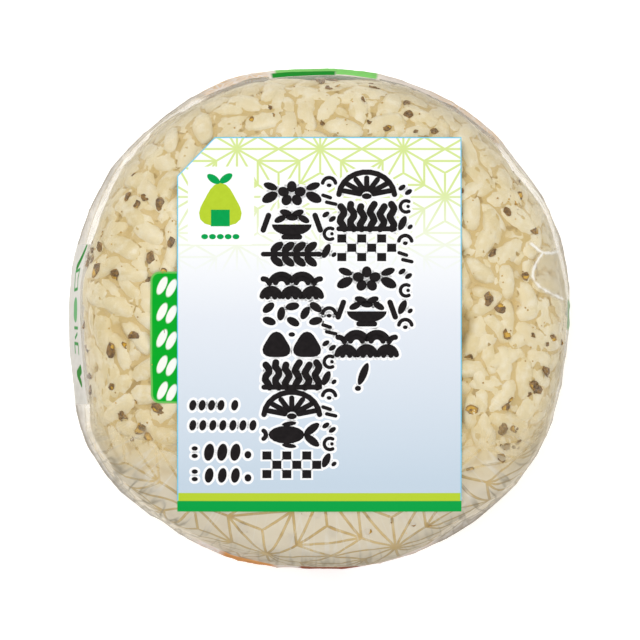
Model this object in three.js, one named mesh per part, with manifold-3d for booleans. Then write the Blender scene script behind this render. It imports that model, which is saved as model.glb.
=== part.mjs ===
// A round onigiri in its pack: a moulded ball of short-grain rice, about 78 mm across,
// sealed in clear film that clings to the grains, with a paper label on its front.
// It lies on its back, so the label faces up. Millimetres, +Z up, +Y towards the label's
// top edge. The origin is the middle of the face that it rests on.
//
// The pack is one solid: film and rice together. It is a smooth core with the outer grains
// and the largest seaweed flakes fused on, the loose skirt of film behind the widest level,
// the film that is drawn tight from the ball to the label's corners, and the flat folds and
// the seam on the back. The label is a thin bent sheet that lies on it.

import * as THREE from "three";
import { ConvexGeometry } from "three/addons/geometries/ConvexGeometry.js";
import { mergeVertices } from "three/addons/utils/BufferGeometryUtils.js";
import Module from "manifold-3d";

const wasm = await Module();
wasm.setup();

// ---------- driving dimensions ----------
const packHeight = 38; // from the resting face to the top of the label
const ballRadius = 38.6; // the ball out to the tops of its grains
const middleHeight = 17.5; // height of the ball's widest level
const squareness = 4.4; // superellipse exponent of the ball's profile
const flatBackRadius = 26.5; // the back is flat inside this radius

const labelWidth = 45.4;
const labelLength = 59.8;
const labelCentre = new THREE.Vector2(-0.1, -0.7);
const labelCut = new THREE.Vector2(6, 6.2); // cut off the label's top left corner
const labelThickness = 0.3;
const labelDrop = 4.6; // how far the label's far corners bend down
const labelBend = 3; // exponent of that bend
const clearance = 0.3; // between the label and the film under it
const seatMargin = 0.7; // how far the seat of film reaches past the label's edge
const seatDepth = 3.5; // how deep the seat and the folds on the back reach into the core

const grainLength = 6.8; // a cooked grain
const grainWidth = 3.5;
const grainThickness = 2.7;
const grainSpacing = 4.2; // least distance between the middles of two grains
const grainRise = 1.15; // how far a grain stands out of the core
const grainTilt = 0.25; // how much its ends rise and dive, as a slope
const grainVariation = 0.16; // spread of its size
const grainToLabel = 0.9; // least distance from a grain's middle and its tips to the label
const tipToLabel = 1.6;

const flakeRadius = 1.25; // the largest flakes of seaweed
const flakeThickness = 0.5;
const flakeCount = 34;
const flakeProud = 0.12; // how far a flake stands out of the ball

const foldThickness = 0.8; // the layers of film folded flat on the back
const foldReach = 31; // from the middle of the back to the fold's far edge
const foldRimHalf = 24; // half-width of the fold near that edge
const foldRimRadius = 34; // the far corners are rounded off to this circle
const seamWidth = 6;
const seamHalfLength = 24;

// ---------- the film's skirt ----------
const skirtStandoff = 1.35; // how far the film stands off the ball there
const skirtTop = 18.5;
const skirtTongue = 2.6; // how far the skirt's top edge rises and falls round the ball
const skirtHeight = 10.5; // height of the skirt's widest level
const skirtBottom = 2.2;
const pleatDepth = 0.9;
const pleatCount = 30;
// Where the film reaches out further: azimuth in degrees from +X, how much further
// in mm, and the half-width of that fold in degrees.
const skirtFolds = [
  { at: 20, reach: 0.6, spread: 14 },
  { at: 52, reach: 1.0, spread: 8 },
  { at: 75, reach: 0.6, spread: 8 },
  { at: 122, reach: 1.3, spread: 16 },
  { at: 146, reach: 1.1, spread: 12 },
  { at: 213, reach: 2.6, spread: 9 },
  { at: 238, reach: 1.0, spread: 11 },
  { at: 300, reach: 0.5, spread: 10 },
  { at: 324, reach: 1.1, spread: 9 },
];

// ---------- helpers ----------
function seededRandom(seed) {
  let state = seed >>> 0;
  return () => {
    state = (Math.imul(state, 1664525) + 1013904223) >>> 0;
    return state / 4294967296;
  };
}

function solidFrom(geometry) {
  const bare = geometry.clone();
  bare.deleteAttribute("normal");
  bare.deleteAttribute("uv");
  const merged = mergeVertices(bare, 1e-4);
  return new wasm.Manifold(
    new wasm.Mesh({
      numProp: 3,
      vertProperties: new Float32Array(merged.attributes.position.array),
      triVerts: new Uint32Array(merged.index.array),
    }),
  );
}

// The outermost shell of a union: hollows that the pieces seal between them are filled.
function outerShell(solid) {
  return solid.decompose().reduce((best, shell) => (shell.volume() > best.volume() ? shell : best));
}

function geometryFrom(solid) {
  const mesh = solid.getMesh();
  const geometry = new THREE.BufferGeometry();
  geometry.setAttribute("position", new THREE.Float32BufferAttribute(mesh.vertProperties, 3));
  geometry.setIndex(new THREE.BufferAttribute(new Uint32Array(mesh.triVerts), 1));
  geometry.computeVertexNormals();
  return geometry;
}

// A closed plate over rows of points: each row has its y and the x where it starts and ends,
// and upper(x, y) and lower(x, y) give the heights of its two faces.
function bentPlate(rows, columns, upper, lower) {
  const positions = [];
  for (const height of [lower, upper]) {
    for (const { y, from, to } of rows) {
      for (let c = 0; c <= columns; c++) {
        const x = THREE.MathUtils.lerp(from, to, c / columns);
        positions.push(x, y, height(x, y));
      }
    }
  }
  const across = columns + 1;
  const layer = rows.length * across;
  const faces = [];
  for (let r = 0; r < rows.length - 1; r++) {
    for (let c = 0; c < columns; c++) {
      const a = r * across + c;
      const b = a + 1;
      const d = a + across;
      const e = d + 1;
      faces.push(a, e, b, a, d, e);
      faces.push(layer + a, layer + b, layer + e, layer + a, layer + e, layer + d);
    }
  }
  const rim = [];
  for (let c = 0; c < columns; c++) rim.push(c);
  for (let r = 0; r < rows.length - 1; r++) rim.push(r * across + columns);
  for (let c = columns; c > 0; c--) rim.push((rows.length - 1) * across + c);
  for (let r = rows.length - 1; r > 0; r--) rim.push(r * across);
  rim.forEach((from, i) => {
    const to = rim[(i + 1) % rim.length];
    faces.push(from, to, layer + to, from, layer + to, layer + from);
  });
  const geometry = new THREE.BufferGeometry();
  geometry.setAttribute("position", new THREE.Float32BufferAttribute(positions, 3));
  geometry.setIndex(faces);
  geometry.computeVertexNormals();
  return geometry;
}

// ---------- shape of the label ----------
const labelUnder = packHeight - labelThickness;
const labelReach = Math.hypot(
  labelWidth / 2 + Math.abs(labelCentre.x),
  labelLength / 2 + Math.abs(labelCentre.y),
);

function labelSag(x, y) {
  return labelDrop * (Math.hypot(x, y) / labelReach) ** labelBend;
}

function seatHeight(x, y) {
  return labelUnder - clearance - labelSag(x, y);
}

function insideLabel(x, y, margin) {
  const dx = x - labelCentre.x;
  const dy = y - labelCentre.y;
  const fits = Math.abs(dx) < labelWidth / 2 + margin && Math.abs(dy) < labelLength / 2 + margin;
  const intoCorner = (dx + labelWidth / 2) / labelCut.x + (labelLength / 2 - dy) / labelCut.y;
  return fits && intoCorner > 1 - margin / 3;
}

// The label's outline in rows from its bottom edge to its top edge, grown by a margin.
function labelRows(margin, rowsBelowCut, rowsInCut) {
  const left = labelCentre.x - labelWidth / 2 - margin;
  const right = labelCentre.x + labelWidth / 2 + margin;
  const bottom = labelCentre.y - labelLength / 2 - margin;
  const top = labelCentre.y + labelLength / 2 + margin;
  const rows = [];
  for (let i = 0; i <= rowsBelowCut; i++) {
    const y = THREE.MathUtils.lerp(bottom, top - labelCut.y, i / rowsBelowCut);
    rows.push({ y, from: left, to: right });
  }
  for (let i = 1; i <= rowsInCut; i++) {
    const share = i / rowsInCut;
    const y = top - labelCut.y * (1 - share);
    rows.push({ y, from: left + share * labelCut.x, to: right });
  }
  return rows;
}

// ---------- shape of the ball ----------
const frontHeight = labelUnder - clearance - middleHeight;
const flatShare = (1 - (flatBackRadius / ballRadius) ** squareness) ** (1 / squareness);
const backHeight = (middleHeight - foldThickness) / flatShare;

// A point of the ball, inset from the tops of its grains, at an azimuth in degrees and a
// slope in radians that runs from -PI/2 at the back to PI/2 at the front.
function ballPoint(azimuth, slope, inset = 0) {
  const wide = ballRadius - inset;
  const tall = (slope > 0 ? frontHeight : backHeight) - inset;
  const c = Math.abs(Math.cos(slope));
  const s = Math.abs(Math.sin(slope));
  const out = ((c / wide) ** squareness + (s / tall) ** squareness) ** (-1 / squareness);
  const turn = THREE.MathUtils.degToRad(azimuth);
  const height = middleHeight + Math.sign(slope) * out * s;
  return new THREE.Vector3(
    out * c * Math.cos(turn),
    out * c * Math.sin(turn),
    Math.max(height, foldThickness),
  );
}

function ballNormal(azimuth, slope) {
  const turn = 0.5;
  const climb = 0.01;
  const across = ballPoint(azimuth + turn, slope).sub(ballPoint(azimuth - turn, slope));
  const up = ballPoint(azimuth, slope + climb).sub(ballPoint(azimuth, slope - climb));
  return across.cross(up).normalize();
}

function backSurface(x, y) {
  const share = Math.min(Math.hypot(x, y) / ballRadius, 1);
  const height = middleHeight - backHeight * (1 - share ** squareness) ** (1 / squareness);
  return Math.max(height, foldThickness);
}

// ---------- the core ----------
function coreSolid() {
  const segments = 40;
  const levels = 14;
  const profile = [];
  for (let i = 0; i <= levels; i++) {
    const slope = Math.PI * (i / levels - 0.5);
    const point = ballPoint(0, slope, grainRise);
    const radius = i === 0 || i === levels ? 0 : point.x;
    profile.push(new THREE.Vector2(radius, point.z));
  }
  const geometry = new THREE.LatheGeometry(profile, segments);
  geometry.rotateX(Math.PI / 2);
  return solidFrom(geometry);
}

// ---------- the skirt of loose film ----------
// Rings of the skirt from its bottom edge round to its hidden inner side. Each has its height
// and its radius, worked out from the film's widest radius at that azimuth.
const hiddenRadius = ballRadius - 6;
const skirtRings = [
  { z: skirtBottom, radius: () => flatBackRadius + 5.5 },
  { z: skirtBottom + 2.6, radius: (film) => film - 2.4 },
  { z: skirtHeight - 3.5, radius: (film) => film - 0.5 },
  { z: skirtHeight, radius: (film) => film },
  { z: skirtHeight + 4, radius: (film) => film - 0.8 },
  { z: skirtTop, tongue: 1, radius: () => ballRadius - grainRise - 0.1 },
  { z: skirtTop, tongue: 1, radius: () => hiddenRadius },
  { z: skirtBottom, radius: () => hiddenRadius - 4 },
];

function skirtRadius(azimuth) {
  let further = 0;
  for (const fold of skirtFolds) {
    const turn = THREE.MathUtils.euclideanModulo(azimuth - fold.at + 180, 360) - 180;
    further = Math.max(further, fold.reach * Math.exp(-((turn / fold.spread) ** 2)));
  }
  return ballRadius + skirtStandoff + further;
}

function skirtSolid() {
  const segments = pleatCount * 2; // each pleat is one ridge and one furrow
  const positions = [];
  for (const { z, tongue = 0, radius } of skirtRings) {
    for (let i = 0; i < segments; i++) {
      const azimuth = (i / segments) * 360;
      const turn = THREE.MathUtils.degToRad(azimuth);
      const ridge = i % 2 === 0 ? 0.5 : -0.5;
      const wave = ridge + 0.3 * Math.sin(5 * turn + 1) + 0.35 * Math.sin(11 * turn);
      const out = radius(skirtRadius(azimuth) + ridge * pleatDepth);
      positions.push(out * Math.cos(turn), out * Math.sin(turn), z + tongue * skirtTongue * wave);
    }
  }
  const faces = [];
  for (let r = 0; r < skirtRings.length; r++) {
    const next = ((r + 1) % skirtRings.length) * segments;
    for (let i = 0; i < segments; i++) {
      const j = (i + 1) % segments;
      const a = r * segments + i;
      const b = r * segments + j;
      faces.push(a, b, next + j, a, next + j, next + i);
    }
  }
  const geometry = new THREE.BufferGeometry();
  geometry.setAttribute("position", new THREE.Float32BufferAttribute(positions, 3));
  geometry.setIndex(faces);
  return solidFrom(geometry);
}

// ---------- film under the label, and drawn tight to its corners ----------
function labelSeat() {
  const lower = (x, y) => seatHeight(x, y) - seatDepth;
  return solidFrom(bentPlate(labelRows(seatMargin, 7, 1), 6, seatHeight, lower));
}

// One tent for each corner of the label: the hull of that corner and a patch of the ball.
function cornerTents() {
  const turns = [-10, -3, 3, 10]; // the patch, in degrees round the ball from the corner
  const slopes = [0.05, 0.45, 0.7, 0.9]; // and up its side, in radians
  const [bottom, level, top] = labelRows(seatMargin, 1, 1);
  const corners = [
    new THREE.Vector2(bottom.from, bottom.y),
    new THREE.Vector2(bottom.to, bottom.y),
    new THREE.Vector2(level.from, level.y),
    new THREE.Vector2(top.from, top.y),
    new THREE.Vector2(top.to, top.y),
  ];
  return corners.map((corner) => {
    const azimuth = THREE.MathUtils.radToDeg(Math.atan2(corner.y, corner.x));
    const height = seatHeight(corner.x, corner.y);
    const points = [
      new THREE.Vector3(corner.x, corner.y, height - 0.02),
      new THREE.Vector3(corner.x * 0.6, corner.y * 0.6, height - seatDepth),
    ];
    for (const turn of turns) {
      for (const slope of slopes) {
        points.push(ballPoint(azimuth + turn, slope, grainRise * 0.6));
      }
    }
    return solidFrom(new ConvexGeometry(points));
  });
}

// ---------- grains that press against the film ----------
function grainPlaces() {
  const random = seededRandom(20931);
  const places = [];
  const tries = 12000;
  for (let i = 0; i < tries; i++) {
    const azimuth = random() * 360;
    const slope = Math.asin(random());
    const spin = random() * Math.PI;
    const tilt = (random() - 0.5) * grainTilt;
    const size = 1 + (random() - 0.5) * grainVariation;
    const point = ballPoint(azimuth, slope);
    if (point.z < skirtTop - skirtTongue) continue;
    if (point.z > middleHeight && insideLabel(point.x, point.y, grainToLabel)) continue;
    if (places.some((other) => other.point.distanceTo(point) < grainSpacing)) continue;
    places.push({ point, normal: ballNormal(azimuth, slope), spin, tilt, size });
  }
  return places;
}

function grainSolids(places) {
  const sides = 5;
  const rings = 3;
  const base = new THREE.SphereGeometry(1, sides, rings);
  base.rotateZ(Math.PI / 2);
  base.scale(grainLength / 2, grainWidth / 2, grainThickness / 2);
  const solids = [];
  for (const { point, normal, spin, tilt, size } of places) {
    const along = new THREE.Vector3(0, 0, 1).cross(normal);
    along.normalize().applyAxisAngle(normal, spin);
    const across = normal.clone().cross(along).normalize();
    along.addScaledVector(normal, tilt).normalize();
    const facing = along.clone().cross(across);
    const middle = point.clone().addScaledVector(normal, (-size * grainThickness) / 2);
    const touchesLabel = [-1, -0.6, 0.6, 1].some((end) => {
      const p = middle.clone().addScaledVector(along, (end * size * grainLength) / 2);
      return p.z > middleHeight && insideLabel(p.x, p.y, tipToLabel);
    });
    if (touchesLabel) continue;
    const matrix = new THREE.Matrix4().makeBasis(along, across, facing);
    matrix.scale(new THREE.Vector3(size, size, size)).setPosition(middle);
    solids.push(solidFrom(base.clone().applyMatrix4(matrix)));
  }
  return solids;
}

// ---------- flakes of seaweed between the grains ----------
function flakeSolids(grains) {
  const random = seededRandom(4417);
  const sides = 5;
  const solids = [];
  const step = Math.floor(grains.length / flakeCount);
  for (let i = 0; i < flakeCount; i++) {
    const { point, normal } = grains[i * step];
    const radius = flakeRadius * (0.7 + 0.3 * random());
    const spin = random() * Math.PI;
    const flake = new THREE.CylinderGeometry(radius, radius * 0.9, flakeThickness, sides);
    flake.rotateY(spin);
    flake.applyQuaternion(
      new THREE.Quaternion().setFromUnitVectors(new THREE.Vector3(0, 1, 0), normal),
    );
    const middle = point.clone().addScaledVector(normal, flakeProud - flakeThickness / 2);
    flake.translate(middle.x, middle.y, middle.z);
    solids.push(solidFrom(flake));
  }
  return solids;
}

// ---------- folds and seam on the back ----------
// Each end of the film tube is folded flat on the back. It narrows towards the middle.
function backFold(side, tipY, tipHalf) {
  const steps = 5;
  const shoulder = 1.35; // how soon the fold reaches its full width
  const rows = [];
  for (let i = 0; i <= steps; i++) {
    const share = i / steps;
    const y = side * THREE.MathUtils.lerp(tipY, foldReach, share);
    const taper = THREE.MathUtils.lerp(tipHalf, foldRimHalf, Math.min(1, share * shoulder));
    const half = Math.min(taper, Math.sqrt(foldRimRadius ** 2 - y ** 2));
    rows.push({ y, from: -half, to: half });
  }
  if (side < 0) rows.reverse();
  const lower = (x, y) => backSurface(x, y) - foldThickness;
  const upper = (x, y) => backSurface(x, y) + seatDepth;
  return solidFrom(bentPlate(rows, 6, upper, lower));
}

function backSeam() {
  const half = seamWidth / 2;
  const rows = [-seamHalfLength, 0, seamHalfLength].map((y) => ({ y, from: -half, to: half }));
  return solidFrom(bentPlate(rows, 2, () => foldThickness + seatDepth, () => 0));
}

// ---------- materials ----------
const wrappedRice = new THREE.MeshStandardMaterial({ color: 0xe0d1b0, roughness: 0.35, metalness: 0 });
const labelPaper = new THREE.MeshStandardMaterial({ color: 0xe3ebf3, roughness: 0.45, metalness: 0 });

// ---------- assembly ----------
const places = grainPlaces();
const pieces = [
  coreSolid(),
  skirtSolid(),
  labelSeat(),
  ...cornerTents(),
  ...grainSolids(places),
  ...flakeSolids(places),
  backFold(1, 7, 15),
  backFold(-1, 5, 17),
  backSeam(),
];
const pack = new THREE.Mesh(geometryFrom(outerShell(wasm.Manifold.union(pieces))), wrappedRice);
pack.name = "wrapped_rice_ball";

const labelTop = (x, y) => packHeight - labelSag(x, y);
const labelBase = (x, y) => labelUnder - labelSag(x, y);
const label = new THREE.Mesh(bentPlate(labelRows(0, 10, 2), 8, labelTop, labelBase), labelPaper);
label.name = "front_label";

const onigiri = new THREE.Group();
onigiri.add(pack, label);

export default onigiri;
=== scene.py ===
import math

import bpy
import numpy as np
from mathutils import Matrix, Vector
from mathutils.bvhtree import BVHTree
from mathutils.kdtree import KDTree


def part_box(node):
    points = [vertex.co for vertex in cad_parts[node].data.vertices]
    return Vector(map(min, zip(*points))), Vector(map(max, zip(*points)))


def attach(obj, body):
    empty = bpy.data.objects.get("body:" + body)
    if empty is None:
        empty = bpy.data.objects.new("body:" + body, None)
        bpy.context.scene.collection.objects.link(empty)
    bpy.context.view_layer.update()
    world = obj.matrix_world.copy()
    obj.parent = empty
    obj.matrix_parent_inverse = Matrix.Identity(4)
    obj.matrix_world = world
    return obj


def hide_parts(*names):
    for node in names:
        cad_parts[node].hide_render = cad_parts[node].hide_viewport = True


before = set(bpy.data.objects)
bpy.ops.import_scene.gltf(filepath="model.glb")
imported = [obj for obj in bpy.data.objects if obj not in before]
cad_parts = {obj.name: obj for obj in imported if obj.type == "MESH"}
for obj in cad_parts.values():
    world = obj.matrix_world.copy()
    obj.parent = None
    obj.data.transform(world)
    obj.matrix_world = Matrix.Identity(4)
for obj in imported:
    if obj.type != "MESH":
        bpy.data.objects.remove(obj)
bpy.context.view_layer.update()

# A round rice ball in its pack: grains and seaweed on a core, clear film drawn over them,
# the folds on its back, and a printed label on its front.
mm = 0.001
labelLow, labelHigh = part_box("front_label")


def say(stage, piece=None):
    size = f", {len(piece.data.polygons)} faces" if piece else ""
    print(f"[onigiri] {stage}{size}")


# The ball is a superellipse round the z axis, with a flat back. Everything inside the film is measured
# from it: it passes through the tops of the grains.
ball = {
    "radius": 38.6 * mm,
    "middle": 17.5 * mm,
    "squareness": 4.4,
    "flatBack": 26.5 * mm,
    "foldThickness": 0.8 * mm,  # the folds of film that the pack rests on
    "underLabel": 0.6 * mm,  # from the label's top to the film under it
    "sideFrom": 0.72,  # the share of the radius where its uneven side starts, and where it is full
    "sideFull": 0.96,
    "bulge": (0.75, 1.15),  # where the side is fullest and how far that reaches, in middle heights
}
ball["front"] = labelHigh.z - ball["underLabel"] - ball["middle"]
ball["back"] = (ball["middle"] - ball["foldThickness"]) / (
    1 - (ball["flatBack"] / ball["radius"]) ** ball["squareness"]
) ** (1 / ball["squareness"])


def outline(samples=4001):
    # share of the way from the back to the front along the outline, its radius and height
    slope = np.linspace(-math.pi / 2, math.pi / 2, samples)
    tall = np.where(slope > 0, ball["front"], ball["back"])
    n = ball["squareness"]
    c, s = np.abs(np.cos(slope)), np.abs(np.sin(slope))
    out = ((c / ball["radius"]) ** n + (s / tall) ** n) ** (-1 / n)
    radius = out * c
    height = np.maximum(ball["middle"] + np.sign(slope) * out * s, ball["foldThickness"])
    arc = np.concatenate([[0], np.cumsum(np.hypot(np.diff(radius), np.diff(height)))])
    return arc, radius, height


arcTable, radiusTable, heightTable = outline()
arcLength = arcTable[-1]


def onBall(azimuth, arc):
    # points and outward normals of the ball, arc metres along the outline from the back
    step = 0.05 * mm
    radius, height = (np.interp(arc, arcTable, table) for table in (radiusTable, heightTable))
    outward, upward = (
        np.interp(arc + step, arcTable, table) - np.interp(arc - step, arcTable, table)
        for table in (radiusTable, heightTable)
    )
    length = np.maximum(np.hypot(outward, upward), 1e-12)
    side, lift = upward / length, -outward / length
    cos, sin = np.cos(azimuth), np.sin(azimuth)
    points = np.stack([radius * cos, radius * sin, height], 1)
    normals = np.stack([side * cos, side * sin, lift], 1)
    return points, normals


def awayFromBall(points):
    # signed distance of points from the ball's surface and the direction of that distance
    n = ball["squareness"]
    z = points[:, 2] - ball["middle"]
    tall = np.where(z > 0, ball["front"], ball["back"])
    r = np.hypot(points[:, 0], points[:, 1])
    a, b = r / ball["radius"], np.abs(z) / tall
    level = np.maximum((a**n + b**n) ** (1 / n), 1e-6)
    slopeR = (a / level) ** (n - 1) / ball["radius"]
    slopeZ = (b / level) ** (n - 1) / tall * np.sign(z)
    steep = np.maximum(np.hypot(slopeR, slopeZ), 1e-6)
    outR = slopeR / steep / np.maximum(r, 1e-9)
    direction = np.stack([points[:, 0] * outR, points[:, 1] * outR, slopeZ / steep], 1)
    return (level - 1) / steep, direction


# the pack isn't quite round: degrees from +X, then how far past the ball, in millimetres,
# the rice's side and the film round it reach there
sides = [
    (0, 1.3, 1.6), (17, 1.4, 2.3), (28, 1.9, 2.4), (37, 1.0, 2.1), (50, 1.7, 2.7), (70, 1.4, 2.3),
    (92, 0.3, 1.9), (112, 1.6, 3.0), (128, 1.8, 2.7), (143, 1.7, 3.0), (162, 0.5, 2.4), (181, -0.9, 1.9),
    (194, -0.2, 2.4), (206, 2.6, 4.0), (218, 2.8, 4.1), (232, 2.2, 2.7), (250, 1.1, 2.5), (265, 1.1, 1.5),
    (288, 1.6, 1.9), (305, 0.5, 2.2), (320, 2.3, 2.7), (333, 2.2, 2.5), (348, 1.3, 1.4),
]


def reachOut(azimuth, column):
    turns, reaches = [side[0] for side in sides], [side[column] for side in sides]
    return np.interp(np.degrees(azimuth), turns, reaches, period=360) * mm


def riceReach(points):
    # how far the rice reaches past the ball at points near it
    r = np.hypot(points[:, 0], points[:, 1])
    near = (r / ball["radius"] - ball["sideFrom"]) / (ball["sideFull"] - ball["sideFrom"])
    near = np.clip(near, 0, 1)
    centre, span = ball["bulge"]
    level = np.clip(1 - ((points[:, 2] / ball["middle"] - centre) / span) ** 2, 0, 1)
    return reachOut(np.arctan2(points[:, 1], points[:, 0]), 1) * near**2 * (3 - 2 * near) * level


def fillOut(points):
    # pushes points near the ball's side outwards to where the rice really is
    grow = 1 + riceReach(points) / np.maximum(np.hypot(points[:, 0], points[:, 1]), 1e-6)
    return points * np.stack([grow, grow, np.ones_like(grow)], 1)


label = {
    "width": labelHigh.x - labelLow.x,
    "length": labelHigh.y - labelLow.y,
    "centre": ((labelLow.x + labelHigh.x) / 2, (labelLow.y + labelHigh.y) / 2),
    "cut": (6 * mm, 6.2 * mm),  # the corner cut off at its top left
    "drop": 4.6 * mm,
    "bend": 3,
    "thickness": 0.16 * mm,
    "softCorner": 3 * mm,  # how far the cut moves outwards for each unit of margin
}
labelReach = math.hypot(max(-labelLow.x, labelHigh.x), max(-labelLow.y, labelHigh.y))


def labelSag(x, y):
    return label["drop"] * (np.hypot(x, y) / labelReach) ** label["bend"]


def insideLabel(x, y, margin):
    dx, dy = x - label["centre"][0], y - label["centre"][1]
    halfWidth, halfLength = label["width"] / 2, label["length"] / 2
    corner = (dx + halfWidth) / label["cut"][0] + (halfLength - dy) / label["cut"][1]
    fits = (np.abs(dx) < halfWidth + margin) & (np.abs(dy) < halfLength + margin)
    return fits & (corner > 1 - margin / label["softCorner"])


def makePiece(name, vertices, faces, material=None):
    mesh = bpy.data.meshes.new(name)
    mesh.from_pydata([tuple(v) for v in vertices], [], [tuple(f) for f in faces])
    mesh.update()
    piece = bpy.data.objects.new(name, mesh)
    bpy.context.scene.collection.objects.link(piece)
    if material:
        mesh.materials.append(material)
    return piece


def shadeSmooth(piece):
    piece.data.polygons.foreach_set("use_smooth", [True] * len(piece.data.polygons))


def corners(piece):
    flat = np.empty(len(piece.data.vertices) * 3, np.float32)
    piece.data.vertices.foreach_get("co", flat)
    return flat.reshape(-1, 3).astype(float)


def setCorners(piece, points):
    piece.data.vertices.foreach_set("co", points.astype(np.float32).ravel())
    piece.data.update()


def shellPlaces(n):
    # a cube's grid blown up to a ball: its azimuths, its places along the outline and its quads
    a = np.tan(np.linspace(-math.pi / 4, math.pi / 4, n + 1))
    u, v = np.meshgrid(a, a, indexing="ij")
    one = np.ones_like(u)
    faces = [(one, u, v), (-one, v, u), (v, one, u), (u, -one, v), (u, v, one), (v, u, -one)]
    grid = np.arange((n + 1) ** 2).reshape(n + 1, n + 1)
    quad = np.stack([grid[:-1, :-1], grid[1:, :-1], grid[1:, 1:], grid[:-1, 1:]], -1).reshape(-1, 4)
    points = np.concatenate([np.stack(face, -1).reshape(-1, 3) for face in faces])
    quads = np.concatenate([quad + i * (n + 1) ** 2 for i in range(len(faces))])
    points /= np.linalg.norm(points, axis=1)[:, None]
    kept, index = np.unique(np.round(points, 6), axis=0, return_inverse=True)
    x, y, z = (kept / np.linalg.norm(kept, axis=1)[:, None]).T
    along = np.arcsin(np.clip(z, -1, 1)) / math.pi + 0.5
    return np.arctan2(y, x), along * arcLength, index.reshape(-1)[quads]


def ballShell(n):
    # the ball's surface as an even grid, with its points, normals and quads
    azimuth, arc, quads = shellPlaces(n)
    return *onBall(azimuth, arc), quads


def neighbours(quads, count):
    # up to four neighbours of each point, the rest filled with a spare index
    ends = np.concatenate([quads[:, [i, (i + 1) % 4]] for i in range(4)])
    ends = np.unique(np.concatenate([ends, ends[:, ::-1]]), axis=0)
    start = np.searchsorted(ends[:, 0], np.arange(count))
    number = np.diff(np.append(start, len(ends)))
    table = np.full((count, 4), count)
    for k in range(4):
        has = number > k
        table[has, k] = ends[start[has] + k, 1]
    return table, number


def reachOf(contents, points, normals, missing):
    # how far the contents reach out beyond each point, along its normal
    vertices, faces = [], []
    for piece in contents:
        base = len(vertices)
        vertices.extend(corners(piece).tolist())
        faces.extend([base + v for v in face.vertices] for face in piece.data.polygons)
    tree = BVHTree.FromPolygons(vertices, faces)
    far = 6 * mm
    reach = np.full(len(points), missing)
    for i, (point, normal) in enumerate(zip(points, normals)):
        distance = tree.ray_cast(Vector(point + normal * far), Vector(-normal), 2 * far)[3]
        if distance is not None:
            reach[i] = far - distance
    return reach


def smoothNoise(points, scale, seed, waves=14):
    # soft noise between about -1 and 1: a sum of plane waves in random directions
    rng = np.random.default_rng(seed)
    total = np.zeros(len(points))
    for _ in range(waves):
        direction = rng.normal(size=3)
        direction *= rng.uniform(0.6, 1.4) / np.linalg.norm(direction) / scale
        total += np.sin(points @ direction * 2 * math.pi + rng.uniform(0, 2 * math.pi))
    return total / math.sqrt(waves) / 1.2


class Value:
    # an output of a node: signs between values, or a value and a number, write Math nodes
    def __init__(self, nodes, socket):
        self.nodes, self.socket = nodes, socket

    def sign(self, operation, a, b):
        write = self.nodes.vector if self.socket.type == "VECTOR" else self.nodes.math
        return write(operation, a, b)

    def __abs__(self):
        return self.nodes.math("ABSOLUTE", self)

    def most(self, other):
        return self.nodes.math("MAXIMUM", self, other)

    def least(self, other):
        return self.nodes.math("MINIMUM", self, other)

    def scaled(self, by):
        return self.nodes.vector("SCALE", self, by)

    def length(self):
        return self.nodes.vector("LENGTH", self)

    def parts(self):
        return [Value(self.nodes, s) for s in self.nodes.add("ShaderNodeSeparateXYZ", {0: self}).outputs]

    def ramp(self, low, high, start=0.0, end=1.0):
        inputs = {"Value": self, "From Min": low, "From Max": high, "To Min": start, "To Max": end}
        return self.nodes.get("ShaderNodeMapRange", inputs, "Result")

    def between(self, low, high, soft):
        return self.ramp(low - soft, low + soft) * self.ramp(high + soft, high - soft)

    def noise(self, scale, detail=2.0, roughness=0.5):
        inputs = {"Vector": self, "Scale": scale, "Detail": detail, "Roughness": roughness}
        return self.nodes.get("ShaderNodeTexNoise", inputs, "Fac")

    def turned(self, angle, centre=(0, 0, 0)):
        inputs = {"Vector": self, "Center": centre, "Angle": angle}
        return self.nodes.get("ShaderNodeVectorRotate", inputs, rotation_type="Z_AXIS")


signs = {"add": "ADD", "sub": "SUBTRACT", "mul": "MULTIPLY", "truediv": "DIVIDE", "pow": "POWER"}
for key, operation in signs.items():
    setattr(Value, f"__{key}__", lambda self, other, o=operation: self.sign(o, self, other))
    setattr(Value, f"__r{key}__", lambda self, other, o=operation: self.sign(o, other, self))


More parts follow.
